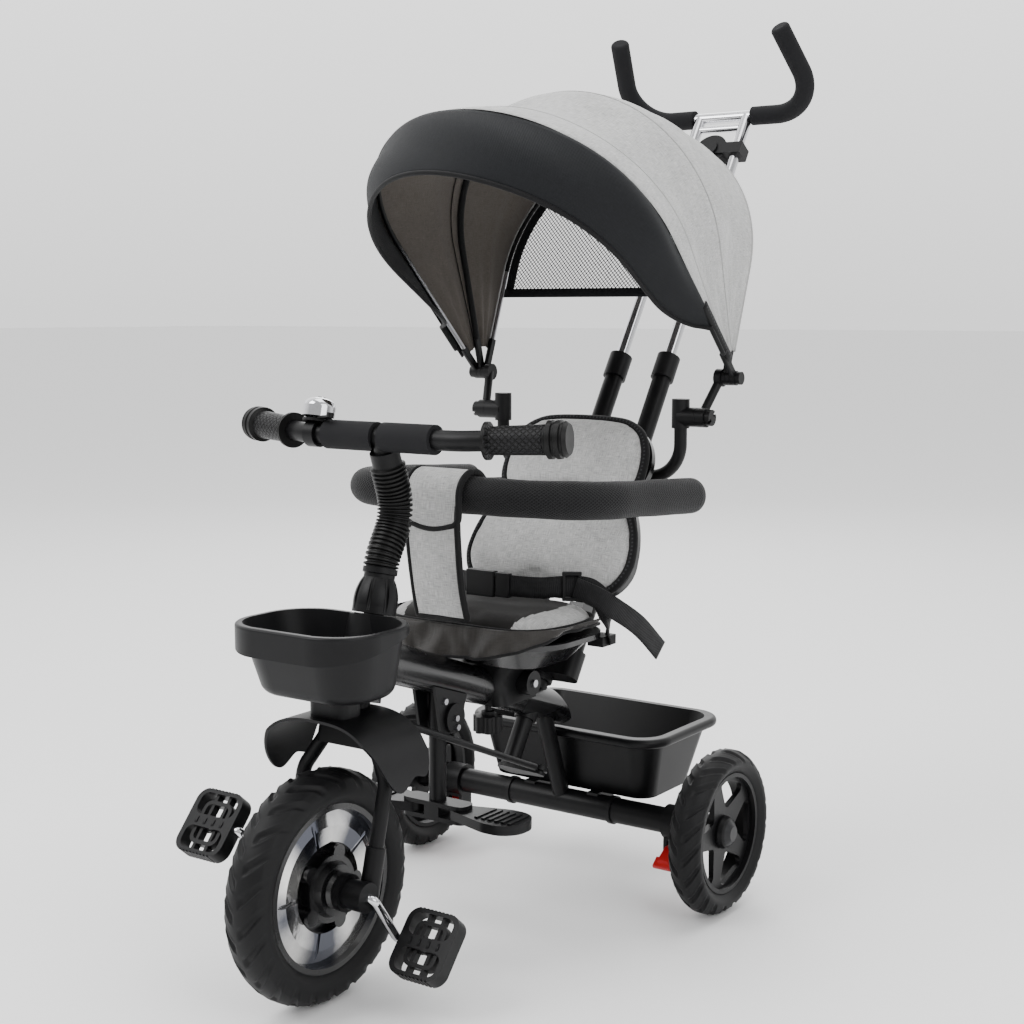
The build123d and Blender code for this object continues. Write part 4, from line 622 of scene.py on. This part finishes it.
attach(seat_pad, "frame")
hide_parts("seat_pad")
welt_line = np.c_[seat_rim * np.array([0.99, 1]), np.full(len(seat_rim), 0.3672)]
seat_welt = edging("seat_welt", welt_line, 0.0026, tape, closed=True)
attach(seat_welt, "frame")

# Seat skirt.
# A satin apron sewn to the front of the pad that falls over the shell in loose folds.


def cloth(name, grid, wall, outer, inner, hem):
    """A sheet with two faces and a closed edge from a grid of points, with its weave laid flat."""
    grid = np.asarray(grid, float)
    rows, columns = grid.shape[:2]
    normal = unit(np.cross(np.gradient(grid, axis=1), np.gradient(grid, axis=0)))
    points = np.concatenate([grid.reshape(-1, 3), (grid - normal * wall).reshape(-1, 3)])
    back = rows * columns
    faces = []
    kinds = []
    for i in range(rows - 1):
        for k in range(columns - 1):
            a = i * columns + k
            faces.append((a, a + 1, a + columns + 1, a + columns))
            faces.append((back + a, back + a + columns, back + a + columns + 1, back + a + 1))
            kinds += [0, 1]
    ring = [(0, k) for k in range(columns)] + [(i, columns - 1) for i in range(1, rows)]
    ring += [(rows - 1, k) for k in range(columns - 2, -1, -1)]
    ring += [(i, 0) for i in range(rows - 2, 0, -1)]
    edge = [i * columns + k for i, k in ring]
    for a, b in zip(edge, edge[1:] + edge[:1]):
        faces.append((b, a, back + a, back + b))
        kinds.append(2)
    made = build(name, points, faces, outer, inner, hem)
    made.data.polygons.foreach_set("material_index", kinds)
    step_u = np.linalg.norm(np.diff(grid, axis=1), axis=2).mean(0)
    step_v = np.linalg.norm(np.diff(grid, axis=0), axis=2).mean(1)
    u = np.concatenate([[0], np.cumsum(step_u)])
    v = np.concatenate([[0], np.cumsum(step_v)])
    pairs = np.stack(np.meshgrid(u, v), 2).reshape(-1, 2)
    lay_uv(made, np.concatenate([pairs, pairs]))
    return made


skirt_columns = 161
skirt_rows = 15
skirt_turn = np.linspace(-1, 1, skirt_columns)
skirt_path = []
skirt_half, skirt_front, skirt_corner, skirt_side = 0.1235, -0.2415, 0.062, 0.062
skirt_top, skirt_hem_z = 0.3700, 0.3315
straight = skirt_half - skirt_corner
arc = skirt_corner * math.pi / 2
for t in skirt_turn:
    run = abs(t) * (straight + arc + skirt_side)
    if run < straight:
        place, out = (run, skirt_front), (0, -1)
    elif run < straight + arc:
        a = (run - straight) / skirt_corner
        place = (straight + skirt_corner * math.sin(a), skirt_front + skirt_corner * (1 - math.cos(a)))
        out = (math.sin(a), -math.cos(a))
    else:
        place, out = (skirt_half, skirt_front + skirt_corner + run - straight - arc), (1, 0)
    s = 1 if t >= 0 else -1
    skirt_path.append((s * place[0], place[1], s * out[0], out[1], s * run))
skirt_waves = [(0.45, 95, 0.8, 2.2), (0.35, 57, -1.1, -2.4), (0.28, 168, 2, 3), (0.16, 260, 0, -4)]
skirt_grid = np.zeros((skirt_rows, skirt_columns, 3))
for i in range(skirt_rows):
    drop = i / (skirt_rows - 1)
    for k, (x, y, ox, oy, run) in enumerate(skirt_path):
        fold = 0
        for size, rate, start, sway in skirt_waves:
            fold += size * math.sin(run * rate + start + sway * drop)
        corner_rise = min(max((abs(run) - 0.030) / 0.115, 0), 1)
        corner_rise = corner_rise**2 * (3 - 2 * corner_rise)
        hem = skirt_hem_z + 0.003 * math.sin(run * 40 + 0.4) + 0.0315 * corner_rise
        z = skirt_top + (hem - skirt_top) * drop
        puff = 0.0035 + 0.0095 * drop**0.8 + 0.0066 * fold * drop**0.6 - 0.006 * corner_rise * drop
        skirt_grid[i, k] = (x + ox * puff, y + oy * puff, z)
skirt = cloth("seat_skirt_cloth", skirt_grid[:, ::-1], 0.0012, satin, satin, tape)
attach(skirt, "frame")
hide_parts("seat_skirt")
skirt_hem = edging("skirt_hem", skirt_grid[-1], 0.0013, tape, flat=1.4)
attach(skirt_hem, "frame")

# Backrest cushions.
# A lower and an upper cushion of grey melange on the back shell, each with a black bound edge.
# Both are swollen by a short cloth simulation.
back_lean = math.radians(28)
back_foot = np.array([0, -0.074, 0.385])
back_up = np.array([0, math.sin(back_lean), math.cos(back_lean)])
back_out = np.array([0, -math.cos(back_lean), math.sin(back_lean)])


def on_back(x, s, depth):
    """A place on the leaning back: across, up along it and into it."""
    return tuple(np.array([x, 0, 0]) + back_foot + back_up * s - back_out * depth)


lower_line = [(0, 0.004), (0.045, 0.004), (0.078, 0.007), (0.104, 0.019), (0.117, 0.042)]
lower_line += [(0.118, 0.064), (0.112, 0.090), (0.100, 0.112), (0.085, 0.124), (0.045, 0.130)]
lower_line.append((0, 0.131))
upper_line = [(0, 0.137), (0.060, 0.138), (0.088, 0.141), (0.098, 0.152), (0.101, 0.172)]
upper_line += [(0.098, 0.198), (0.086, 0.221), (0.064, 0.234), (0.038, 0.238), (0, 0.239)]
for label, line, crown in (("lower", lower_line, 0.0), ("upper", upper_line, 0.003)):
    rim = loop_through(both_sides(line), 110)
    layers = [(0.96, 0.0238), (0.995, 0.021), (1.0, 0.016), (0.985, 0.011), (0.93, 0.0055 + crown)]
    layers += [(0.80, 0.0005 + crown), (0.5, -0.004 + crown), (0.2, -0.005 + crown)]
    pad = stuffed("back_" + label, rim, layers, on_back, melange)
    swell(pad, 0.006)
    flat_uv(pad, (1, 0, 0), tuple(back_up), tuple(back_foot))
    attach(pad, "frame")
    if label == "lower":
        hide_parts("backrest_pad")
    bound_line = [on_back(x, s, 0.0165) for x, s in rim]
    bound = edging("back_binding_" + label, bound_line, 0.0058, tape, closed=True, up=tuple(back_out))
    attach(bound, "frame")

# Guard bar cover.
# A foam tube in a tight knitted sleeve, rounded at both ends, bulging a little between its stitches.
guard_radius = 0.0214
guard_half, guard_bend = 0.167, 0.095
guard_rear, guard_front = 0.024, -0.244
bend_x, bend_y = guard_half - guard_bend, guard_front + guard_bend
guard_stops = []
for t in np.linspace(0, 1, 22):
    guard_stops.append((guard_half, guard_rear + (bend_y - guard_rear) * t))
for a in np.linspace(0, math.pi / 2, 22)[1:]:
    guard_stops.append((bend_x + guard_bend * math.cos(a), bend_y - guard_bend * math.sin(a)))
for t in np.linspace(0, 1, 12)[1:]:
    guard_stops.append((bend_x - bend_x * t, guard_front))
guard_stops += [(-x, y) for x, y in reversed(guard_stops[:-1])]
guard_top, guard_slope = 0.520, 0.016 / 0.256
guard_line = np.array([(x, y, guard_top - guard_slope * (y - guard_front)) for x, y in guard_stops])
knit = Finish("sleeve_knit", 0.72, sheen=0.06, coords="UV")
knit_u = knit.at.axis(0) * (1 / 0.0042)
knit_v = knit.at.axis(1) * 34
knit_a = ((knit_u + knit_v).math("FRACT") - 0.5).math("ABSOLUTE")
knit_b = ((knit_u - knit_v).math("FRACT") - 0.5).math("ABSOLUTE")
knit_hole = knit_a.math("MAXIMUM", knit_b).clip(0.26, 0.42)
knit.feed("Base Color", knit_hole.between((0.0015, 0.0015, 0.002), (0.010, 0.010, 0.011)))
knit.bump(knit_hole, 0.8, 0.0007)
guard_sides = 40
guard = edging("guard_sleeve", guard_line, guard_radius, knit.material, sides=guard_sides)
guard_mesh = guard.data
co = places_of(guard_mesh).reshape(len(guard_line), guard_sides, 3)
run = np.arange(len(guard_line)) / len(guard_line)
size = 1 + 0.016 * np.sin(run * 31) + 0.010 * np.sin(run * 67 + 1)
size = np.minimum(size, 1.025)
co = guard_line[:, None] + (co - guard_line[:, None]) * size[:, None, None]
guard_mesh.vertices.foreach_set("co", co.ravel())
ends = bmesh.new()
ends.from_mesh(guard_mesh)
for cap in [face for face in ends.faces if len(face.verts) > 4]:
    for share, push in ((0.92, 0.006), (0.75, 0.005), (0.5, 0.003), (0.2, 0.001)):
        bmesh.ops.inset_region(ends, faces=[cap], thickness=0.0001)
        middle = cap.calc_center_median()
        out = cap.normal.copy()
        for vert in cap.verts:
            ray = vert.co - middle
            vert.co = middle + ray.normalized() * guard_radius * share + out * push
for face in ends.faces:
    face.smooth = True
ends.to_mesh(guard_mesh)
ends.free()
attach(guard, "frame")
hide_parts("guard_foam")

# Crotch panel.
# A strip of bound melange that hangs from the guard bar to the seat, under a flap that wraps the bar.
bar_y, bar_z = guard_front, guard_top
strip_top, strip_foot, strip_half = 0.512, 0.3785, 0.0345
panel_grid = np.zeros((34, 25, 3))
for i, t in enumerate(np.linspace(0, 1, 34)):
    z = strip_top + (strip_foot - strip_top) * t
    y = -0.2690 + 0.0165 * t**1.6 - 0.004 * math.sin(math.pi * t)
    for k, w in enumerate(np.linspace(-1, 1, 25)):
        cup = 0.0020 * (1 - w * w) * math.sin(math.pi * min(t * 1.2, 1))
        panel_grid[i, k] = (strip_half * w, y - cup + 0.0006 * math.sin(9 * t + 4 * w), z)
panel = cloth("crotch_strip", panel_grid, 0.0026, melange, melange, tape)
flap_grid = np.zeros((52, 33, 3))
wrap_share, fall_share, flap_drop = 0.66, 0.34, 0.034
round_from, round_share = 0.62, 0.38
for i, t in enumerate(np.linspace(0, 1, 52)):
    wrap = min(t / wrap_share, 1)
    fall = max(t - wrap_share, 0) / fall_share
    turn = math.radians(-115 + 205 * wrap)
    radius = 0.0252 + 0.0022 * wrap
    y = bar_y - radius * math.sin(turn)
    z = bar_z + radius * math.cos(turn) - flap_drop * fall
    half = 0.0372
    if fall > round_from:
        end = (fall - round_from) / round_share
        half -= 0.014 * (1 - math.sqrt(max(1 - end**2, 0)))
    for k, w in enumerate(np.linspace(-1, 1, 33)):
        cup = 1 - w * w
        bulge = 0.0012 * math.sin(math.pi * fall) * cup
        flap_grid[i, k] = (half * w, y - bulge, z - 0.0035 * fall * cup)
flap = cloth("crotch_flap", flap_grid, 0.0022, melange, melange, tape)
for made, grid, name in ((panel, panel_grid, "strip"), (flap, flap_grid, "flap")):
    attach(made, "frame")
    around = np.concatenate([grid[:, 0], grid[-1, 1:], grid[-2::-1, -1]])
    bound = edging("crotch_binding_" + name, around, 0.0036, tape, flat=1.2, up=(0, 1, 0))
    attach(bound, "frame")
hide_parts("crotch_panel")

# Lap belt.
# Ribbed black webbing from one side of the seat to the other, with a buckle, a slider and a loose tail.
# Each end twists down to an anchor below the seat's rim.
belt_width, belt_wall, belt_z = 0.025, 0.0018, 0.4055
webbing = Finish("webbing", 0.6, sheen=0.05, coords="UV")
web_rib = (webbing.at.axis(0) * (2 * math.pi / 0.0022)).math("SINE")
web_line = (webbing.at.axis(1) * (2 * math.pi / 0.0060)).math("SINE")
web_shade = webbing.at.noise(60, 3).clip(0.3, 0.7)
webbing.feed("Base Color", web_shade.between((0.004, 0.004, 0.0045), (0.010, 0.010, 0.011)))
webbing.bump(web_rib * 0.6 + web_line * 0.25, 0.7, 0.0004)
webbing = webbing.material


def ribbon(name, stops):
    """A strap on edge through a few places."""
    stops = np.asarray(stops, float)
    around = np.vstack([2 * stops[0] - stops[1], stops, 2 * stops[-1] - stops[-2]])
    fine = []
    for i in range(len(stops) - 1):
        a, b, c, d = around[i : i + 4]
        for t in np.linspace(0, 1, 16, endpoint=i == len(stops) - 2):
            fine.append(between_stops(a, b, c, d, t))
    fine = np.array(fine)
    ahead = unit(np.gradient(fine, axis=0))
    flat = unit(np.cross(ahead, (0, 0, 1)))
    rise = np.cross(flat, ahead)
    outer = fine + flat * belt_wall / 2
    grid = np.stack([outer + rise * belt_width * w for w in np.linspace(-0.5, 0.5, 5)])
    made = cloth(name, grid, belt_wall, webbing, webbing, webbing)
    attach(made, "frame")
    return made


buckle_y = -0.164
buckle_prong = (0.0100, 0.0070, 0.0040)
fitting_blocks = [
    ((-0.0090, buckle_y, belt_z), (0.0400, 0.0105, 0.0310), 0),
    ((0.0225, buckle_y, belt_z), (0.0190, 0.0085, 0.0290), 0),
    ((0.0115, buckle_y, belt_z + 0.0120), buckle_prong, 0),
    ((0.0115, buckle_y, belt_z - 0.0120), buckle_prong, 0),
]
slider = Vector((0.0940, -0.1267, belt_z))
slider_turn = math.radians(31)
slider_along = Vector((math.cos(slider_turn), math.sin(slider_turn), 0))
slider_out = Vector((math.sin(slider_turn), -math.cos(slider_turn), 0))
slider_rail = (0.0230, 0.0075, 0.0042)
slider_bar = (0.0036, 0.0028, 0.0300)
for along, out, up, size in (
    (0, 0, 0.0152, slider_rail),
    (0, 0, -0.0152, slider_rail),
    (-0.0095, 0.0026, 0, slider_bar),
    (0.0095, 0.0026, 0, slider_bar),
    (0, -0.0026, 0, slider_bar),
):
    middle = slider + slider_along * along + slider_out * out + Vector((0, 0, up))
    fitting_blocks.append((middle, size, slider_turn))
fitting_blocks += [((x, -0.1000, 0.3405), (0.0220, 0.0300, 0.0120), 0) for x in (-0.1190, 0.1190)]
fittings = bmesh.new()
for middle, size, turn in fitting_blocks:
    place = Matrix.LocRotScale(Vector(middle), Matrix.Rotation(turn, 3, "Z"), Vector(size))
    bmesh.ops.create_cube(fittings, size=1, matrix=place)
rounding = {"offset": 0.0011, "segments": 2, "profile": 0.5, "affect": "EDGES"}
bmesh.ops.bevel(fittings, geom=fittings.edges[:], **rounding)
fittings.verts.index_update()
fitting_faces = [[vert.index for vert in face.verts] for face in fittings.faces]
hardware = build("belt_fittings", [vert.co for vert in fittings.verts], fitting_faces, nylon)
hardware.data.polygons.foreach_set("use_smooth", [face.calc_area() < 3e-5 for face in fittings.faces])
fittings.free()
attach(hardware, "frame")
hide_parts("belt_hardware")
anchor_run = [(0.113, -0.1155, 0.4025), (0.124, -0.108, 0.390), (0.1285, -0.1025, 0.372)]
anchor_run += [(0.1275, -0.098, 0.352), (0.1245, -0.0945, 0.340)]
left_run = [(0.030, buckle_y, belt_z), (0.062, -0.147, 0.4035), (0.087, -0.131, belt_z)]
left_run.append((0.100, -0.123, belt_z))
right_run = [(-0.027, buckle_y, belt_z), (-0.066, -0.147, 0.4035), (-0.100, -0.123, belt_z)]
right_run += [(-x, y, z) for x, y, z in anchor_run]
tail_run = [(0.100, -0.1285, 0.4045), (0.124, -0.126, 0.397), (0.143, -0.113, 0.383)]
tail_run += [(0.155, -0.075, 0.357), (0.161, -0.034, 0.321)]
lap_left = ribbon("lap_left", left_run + anchor_run)
ribbon("lap_right", right_run)
ribbon("lap_tail", tail_run)
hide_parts("belt_webbing")

# Canopy cover.
# Two grey sheets with a brown-grey lining that meet on the middle bow, dipping between the bows.
# The rear one has a hidden flap below the front one.
rear_angle, mid_angle, front_angle = -20, 15, 46
bow_angles = (rear_angle, -2.5, mid_angle, 30.5, front_angle)
half_fit = np.polyfit(bow_angles, (0.187, 0.1902, 0.1935, 0.1967, 0.200), 2)
height_fit = np.polyfit(bow_angles, (0.330, 0.3415, 0.358, 0.383, 0.436), 4)
cover_foot = 0.034


def arch(half, height, foot, count):
    """Places on a bow's line, straight legs and a round top, evenly spaced from foot to foot."""
    leg = height - half - foot
    total = 2 * leg + math.pi * half
    places = []
    for at in np.linspace(0, total, count):
        if at < leg:
            places.append((half, foot + at))
        elif at > total - leg:
            places.append((-half, foot + total - at))
        else:
            a = (at - leg) / half
            places.append((half * math.cos(a), height - half + half * math.sin(a)))
    return np.array(places)


def hub_point(x, radius, degrees):
    """A place beside the hubs: across, out from their axis and turned forward about it."""
    a = math.radians(degrees)
    return (x, hub.y - radius * math.sin(a), hub.z + radius * math.cos(a))


def bow_line(degrees, line):
    """A flat line of places across and out from the hubs, turned forward about them."""
    return np.array([hub_point(x, r, degrees) for x, r in line])


def cover_line(angle, count, sink=0.0):
    """Places on the cover over one angle round the hubs, dipping between two bows."""
    if angle < mid_angle:
        gap = (angle - rear_angle) / (mid_angle - rear_angle)
    else:
        gap = (angle - mid_angle) / (front_angle - mid_angle)
    sag = math.sin(math.pi * min(max(gap, 0), 1)) ** 2
    half = np.polyval(half_fit, angle) - 0.0045 * sag - sink
    height = np.polyval(height_fit, angle) - (0.014 if angle > mid_angle else 0.004) * sag - sink
    places = []
    for k, (x, radius) in enumerate(arch(half, height, cover_foot, count)):
        along = k / (count - 1)
        low = abs(along - 0.5) / 0.5
        crease = 0.0011 * math.sin(angle * 0.75 + 3 * along) * low**1.5 * sag
        crease += 0.0009 * math.sin(angle * 0.4 + along * 23) * sag
        places.append(hub_point(x * (1 + crease / 0.2), radius * (1 + crease / 0.35), angle))
    return places


def follow(made, end):
    """Bake a piece's placement into its points; the two hub places it works out go unused."""
    hub_point(0, 0.35, rear_angle)
    hub_point(0, 0.35, end)
    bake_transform(made)


lining = woven("lining", (0.060, 0.052, 0.045), (0.135, 0.120, 0.106), 0.8, 0.0012, 0.2, 0.1)
cover_columns = 141
flap_sink = 0.0024
rear_rows = np.concatenate([np.linspace(rear_angle, mid_angle, 29), np.linspace(16.5, 19.5, 4)])
front_rows = np.linspace(mid_angle, front_angle, 26)
for label, bow, end, angles in (
    ("rear", "mid_bow", mid_angle, rear_rows),
    ("front", "front_bow", front_angle, front_rows),
):
    sinks = np.where(angles > end, flap_sink, 0.0)
    cover_grid = np.array([cover_line(a, cover_columns, sink) for a, sink in zip(angles, sinks)])
    cover = cloth("canopy_sheet_" + label, cover_grid, 0.0012, melange, lining, tape)
    share = np.repeat(np.minimum((angles - rear_angle) / (end - rear_angle), 1), cover_columns)
    follow(cover, end)
    if label == "rear":
        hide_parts("canopy_cover")
seam_angle = 37.5
seam = edging("front_seam", cover_line(seam_angle, cover_columns), 0.0008, melange, sides=8)
follow(seam, front_angle)

# Canopy trims.
# Black tape over the middle bow, a stitched ridge on the outside, a bound rear edge
# and flat binding down both legs of the front bow.
mid_line = bow_line(mid_angle, arch(0.1875, 0.352, 0.046, 90))
mid_lean = math.radians(mid_angle)
mid_up = (0, math.cos(mid_lean), math.sin(mid_lean))
mid_tape = edging("mid_bow_tape", mid_line, 0.0042, tape, up=mid_up)
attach(mid_tape, "mid_bow")
ridge_line = bow_line(mid_angle, arch(0.1938, 0.3583, 0.040, 110))
ridge = edging("mid_bow_ridge", ridge_line, 0.0005, melange, sides=8)
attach(ridge, "mid_bow")
rear_line = bow_line(rear_angle, arch(0.1868, 0.3298, cover_foot, 110))
rear_edge = edging("rear_binding", rear_line, 0.0016, melange, sides=8)
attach(rear_edge, "canopy")
for side in (-1, 1):
    leg = bow_line(front_angle, [(side * 0.2002, r) for r in np.linspace(cover_foot, 0.128, 14)])
    label = "l" if side > 0 else "r"
    strip = edging("front_leg_binding_" + label, leg, 0.0062, tape, flat=0.35, up=(1, 0, 0))
    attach(strip, "front_bow")

# Canopy visor.
# A padded black crescent in front of the front bow, with a bound lip.
# It runs out in a narrow band to each hub.
visor_rows = 19
visor_columns = 161
visor_foot = 0.052
visor_half, visor_height = 0.200, 0.436
visor_start, visor_spread = front_angle + 0.05, 12
visor_pull, visor_puff = 0.034, 0.004
band_length, band_width, corner_length = 0.048, 0.0075, 0.075
visor_length = 2 * (visor_height - visor_half - visor_foot) + math.pi * visor_half
visor_grid = np.zeros((visor_rows, visor_columns, 3))
for i, t in enumerate(np.linspace(0, 1, visor_rows)):
    narrow = 0.5 * t * t + 0.5 * t**3
    line = arch(visor_half, visor_height - 0.002 * t, visor_foot, visor_columns)
    for k, (x, radius) in enumerate(line):
        run = visor_length * min(k, visor_columns - 1 - k) / (visor_columns - 1)
        corner = min(max((run - band_length) / corner_length, 0), 1)
        corner = math.sqrt(1 - (1 - corner) ** 2)
        band = math.degrees(band_width / radius)
        spread = band + (visor_spread - band) * corner
        pull = visor_pull * (narrow if x > 0 else t) * corner
        puff = (visor_puff * math.sin(math.pi * t) + 0.0012 * math.sin(7 * t + k * 0.16)) * corner
        x = x * (1 - pull / visor_half) * (1 + puff / visor_half)
        visor_grid[i, k] = hub_point(x, radius * (1 + puff / 0.4), visor_start + spread * t)
dark_weave = woven("dark_weave", (0.0035, 0.004, 0.005), (0.011, 0.012, 0.014), 0.75, 0.001, 0.25, 0.05)
visor = cloth("visor_cloth", visor_grid, 0.0016, dark_weave, dark_weave, tape)
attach(visor, "front_bow")
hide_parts("canopy_visor")
lip_line = np.concatenate([visor_grid[1:, 0], visor_grid[-1, 1:-1], visor_grid[:0:-1, -1]])
lip = edging("visor_lip", lip_line, 0.0028, tape)
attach(lip, "front_bow")

# Rear window.
# Fine black diamond net inside the rear bow, in a wide cloth border.
net = Finish("window_net", 0.6, coords="UV")
net_step, net_share = 0.0058, 0.30
net_a = ((net.at.axis(0) + net.at.axis(1)) * (1 / net_step)).math("FRACT")
net_b = ((net.at.axis(0) - net.at.axis(1)) * (1 / net_step)).math("FRACT")
net_thread = (net_a.math("LESS_THAN", net_share)).math("MAXIMUM", net_b.math("LESS_THAN", net_share))
net.feed("Alpha", net_thread)
net_shade = net.at.noise(900, 2)
net.feed("Base Color", net_shade.between((0.012, 0.012, 0.013), (0.035, 0.035, 0.037)))
border_half, border_low, pane_low = 0.1770, 0.106, 0.118
outer_points = bow_line(rear_angle, arch(border_half, 0.3200, border_low, 100))
inner_line = arch(0.1640, 0.3070, pane_low, 100)
pane_points = bow_line(rear_angle, inner_line)
border_grid = np.stack([outer_points * (1 - t) + pane_points * t for t in (0, 0.33, 0.67, 1)])
border = cloth("window_border", border_grid, 0.0011, dark_weave, dark_weave, tape)
sill_places = np.linspace(border_half, -border_half, 40)
sill_rows = np.linspace(border_low, pane_low, 4)
sill_grid = np.array([bow_line(rear_angle, [(x, r) for x in sill_places]) for r in sill_rows])
sill = cloth("window_sill", sill_grid, 0.0011, dark_weave, dark_weave, tape)
pane = build("window_net", pane_points, [tuple(range(len(pane_points)))], net.material)
lay_uv(pane, inner_line)
for made in (border, sill, pane):
    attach(made, "canopy")
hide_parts("canopy_window")
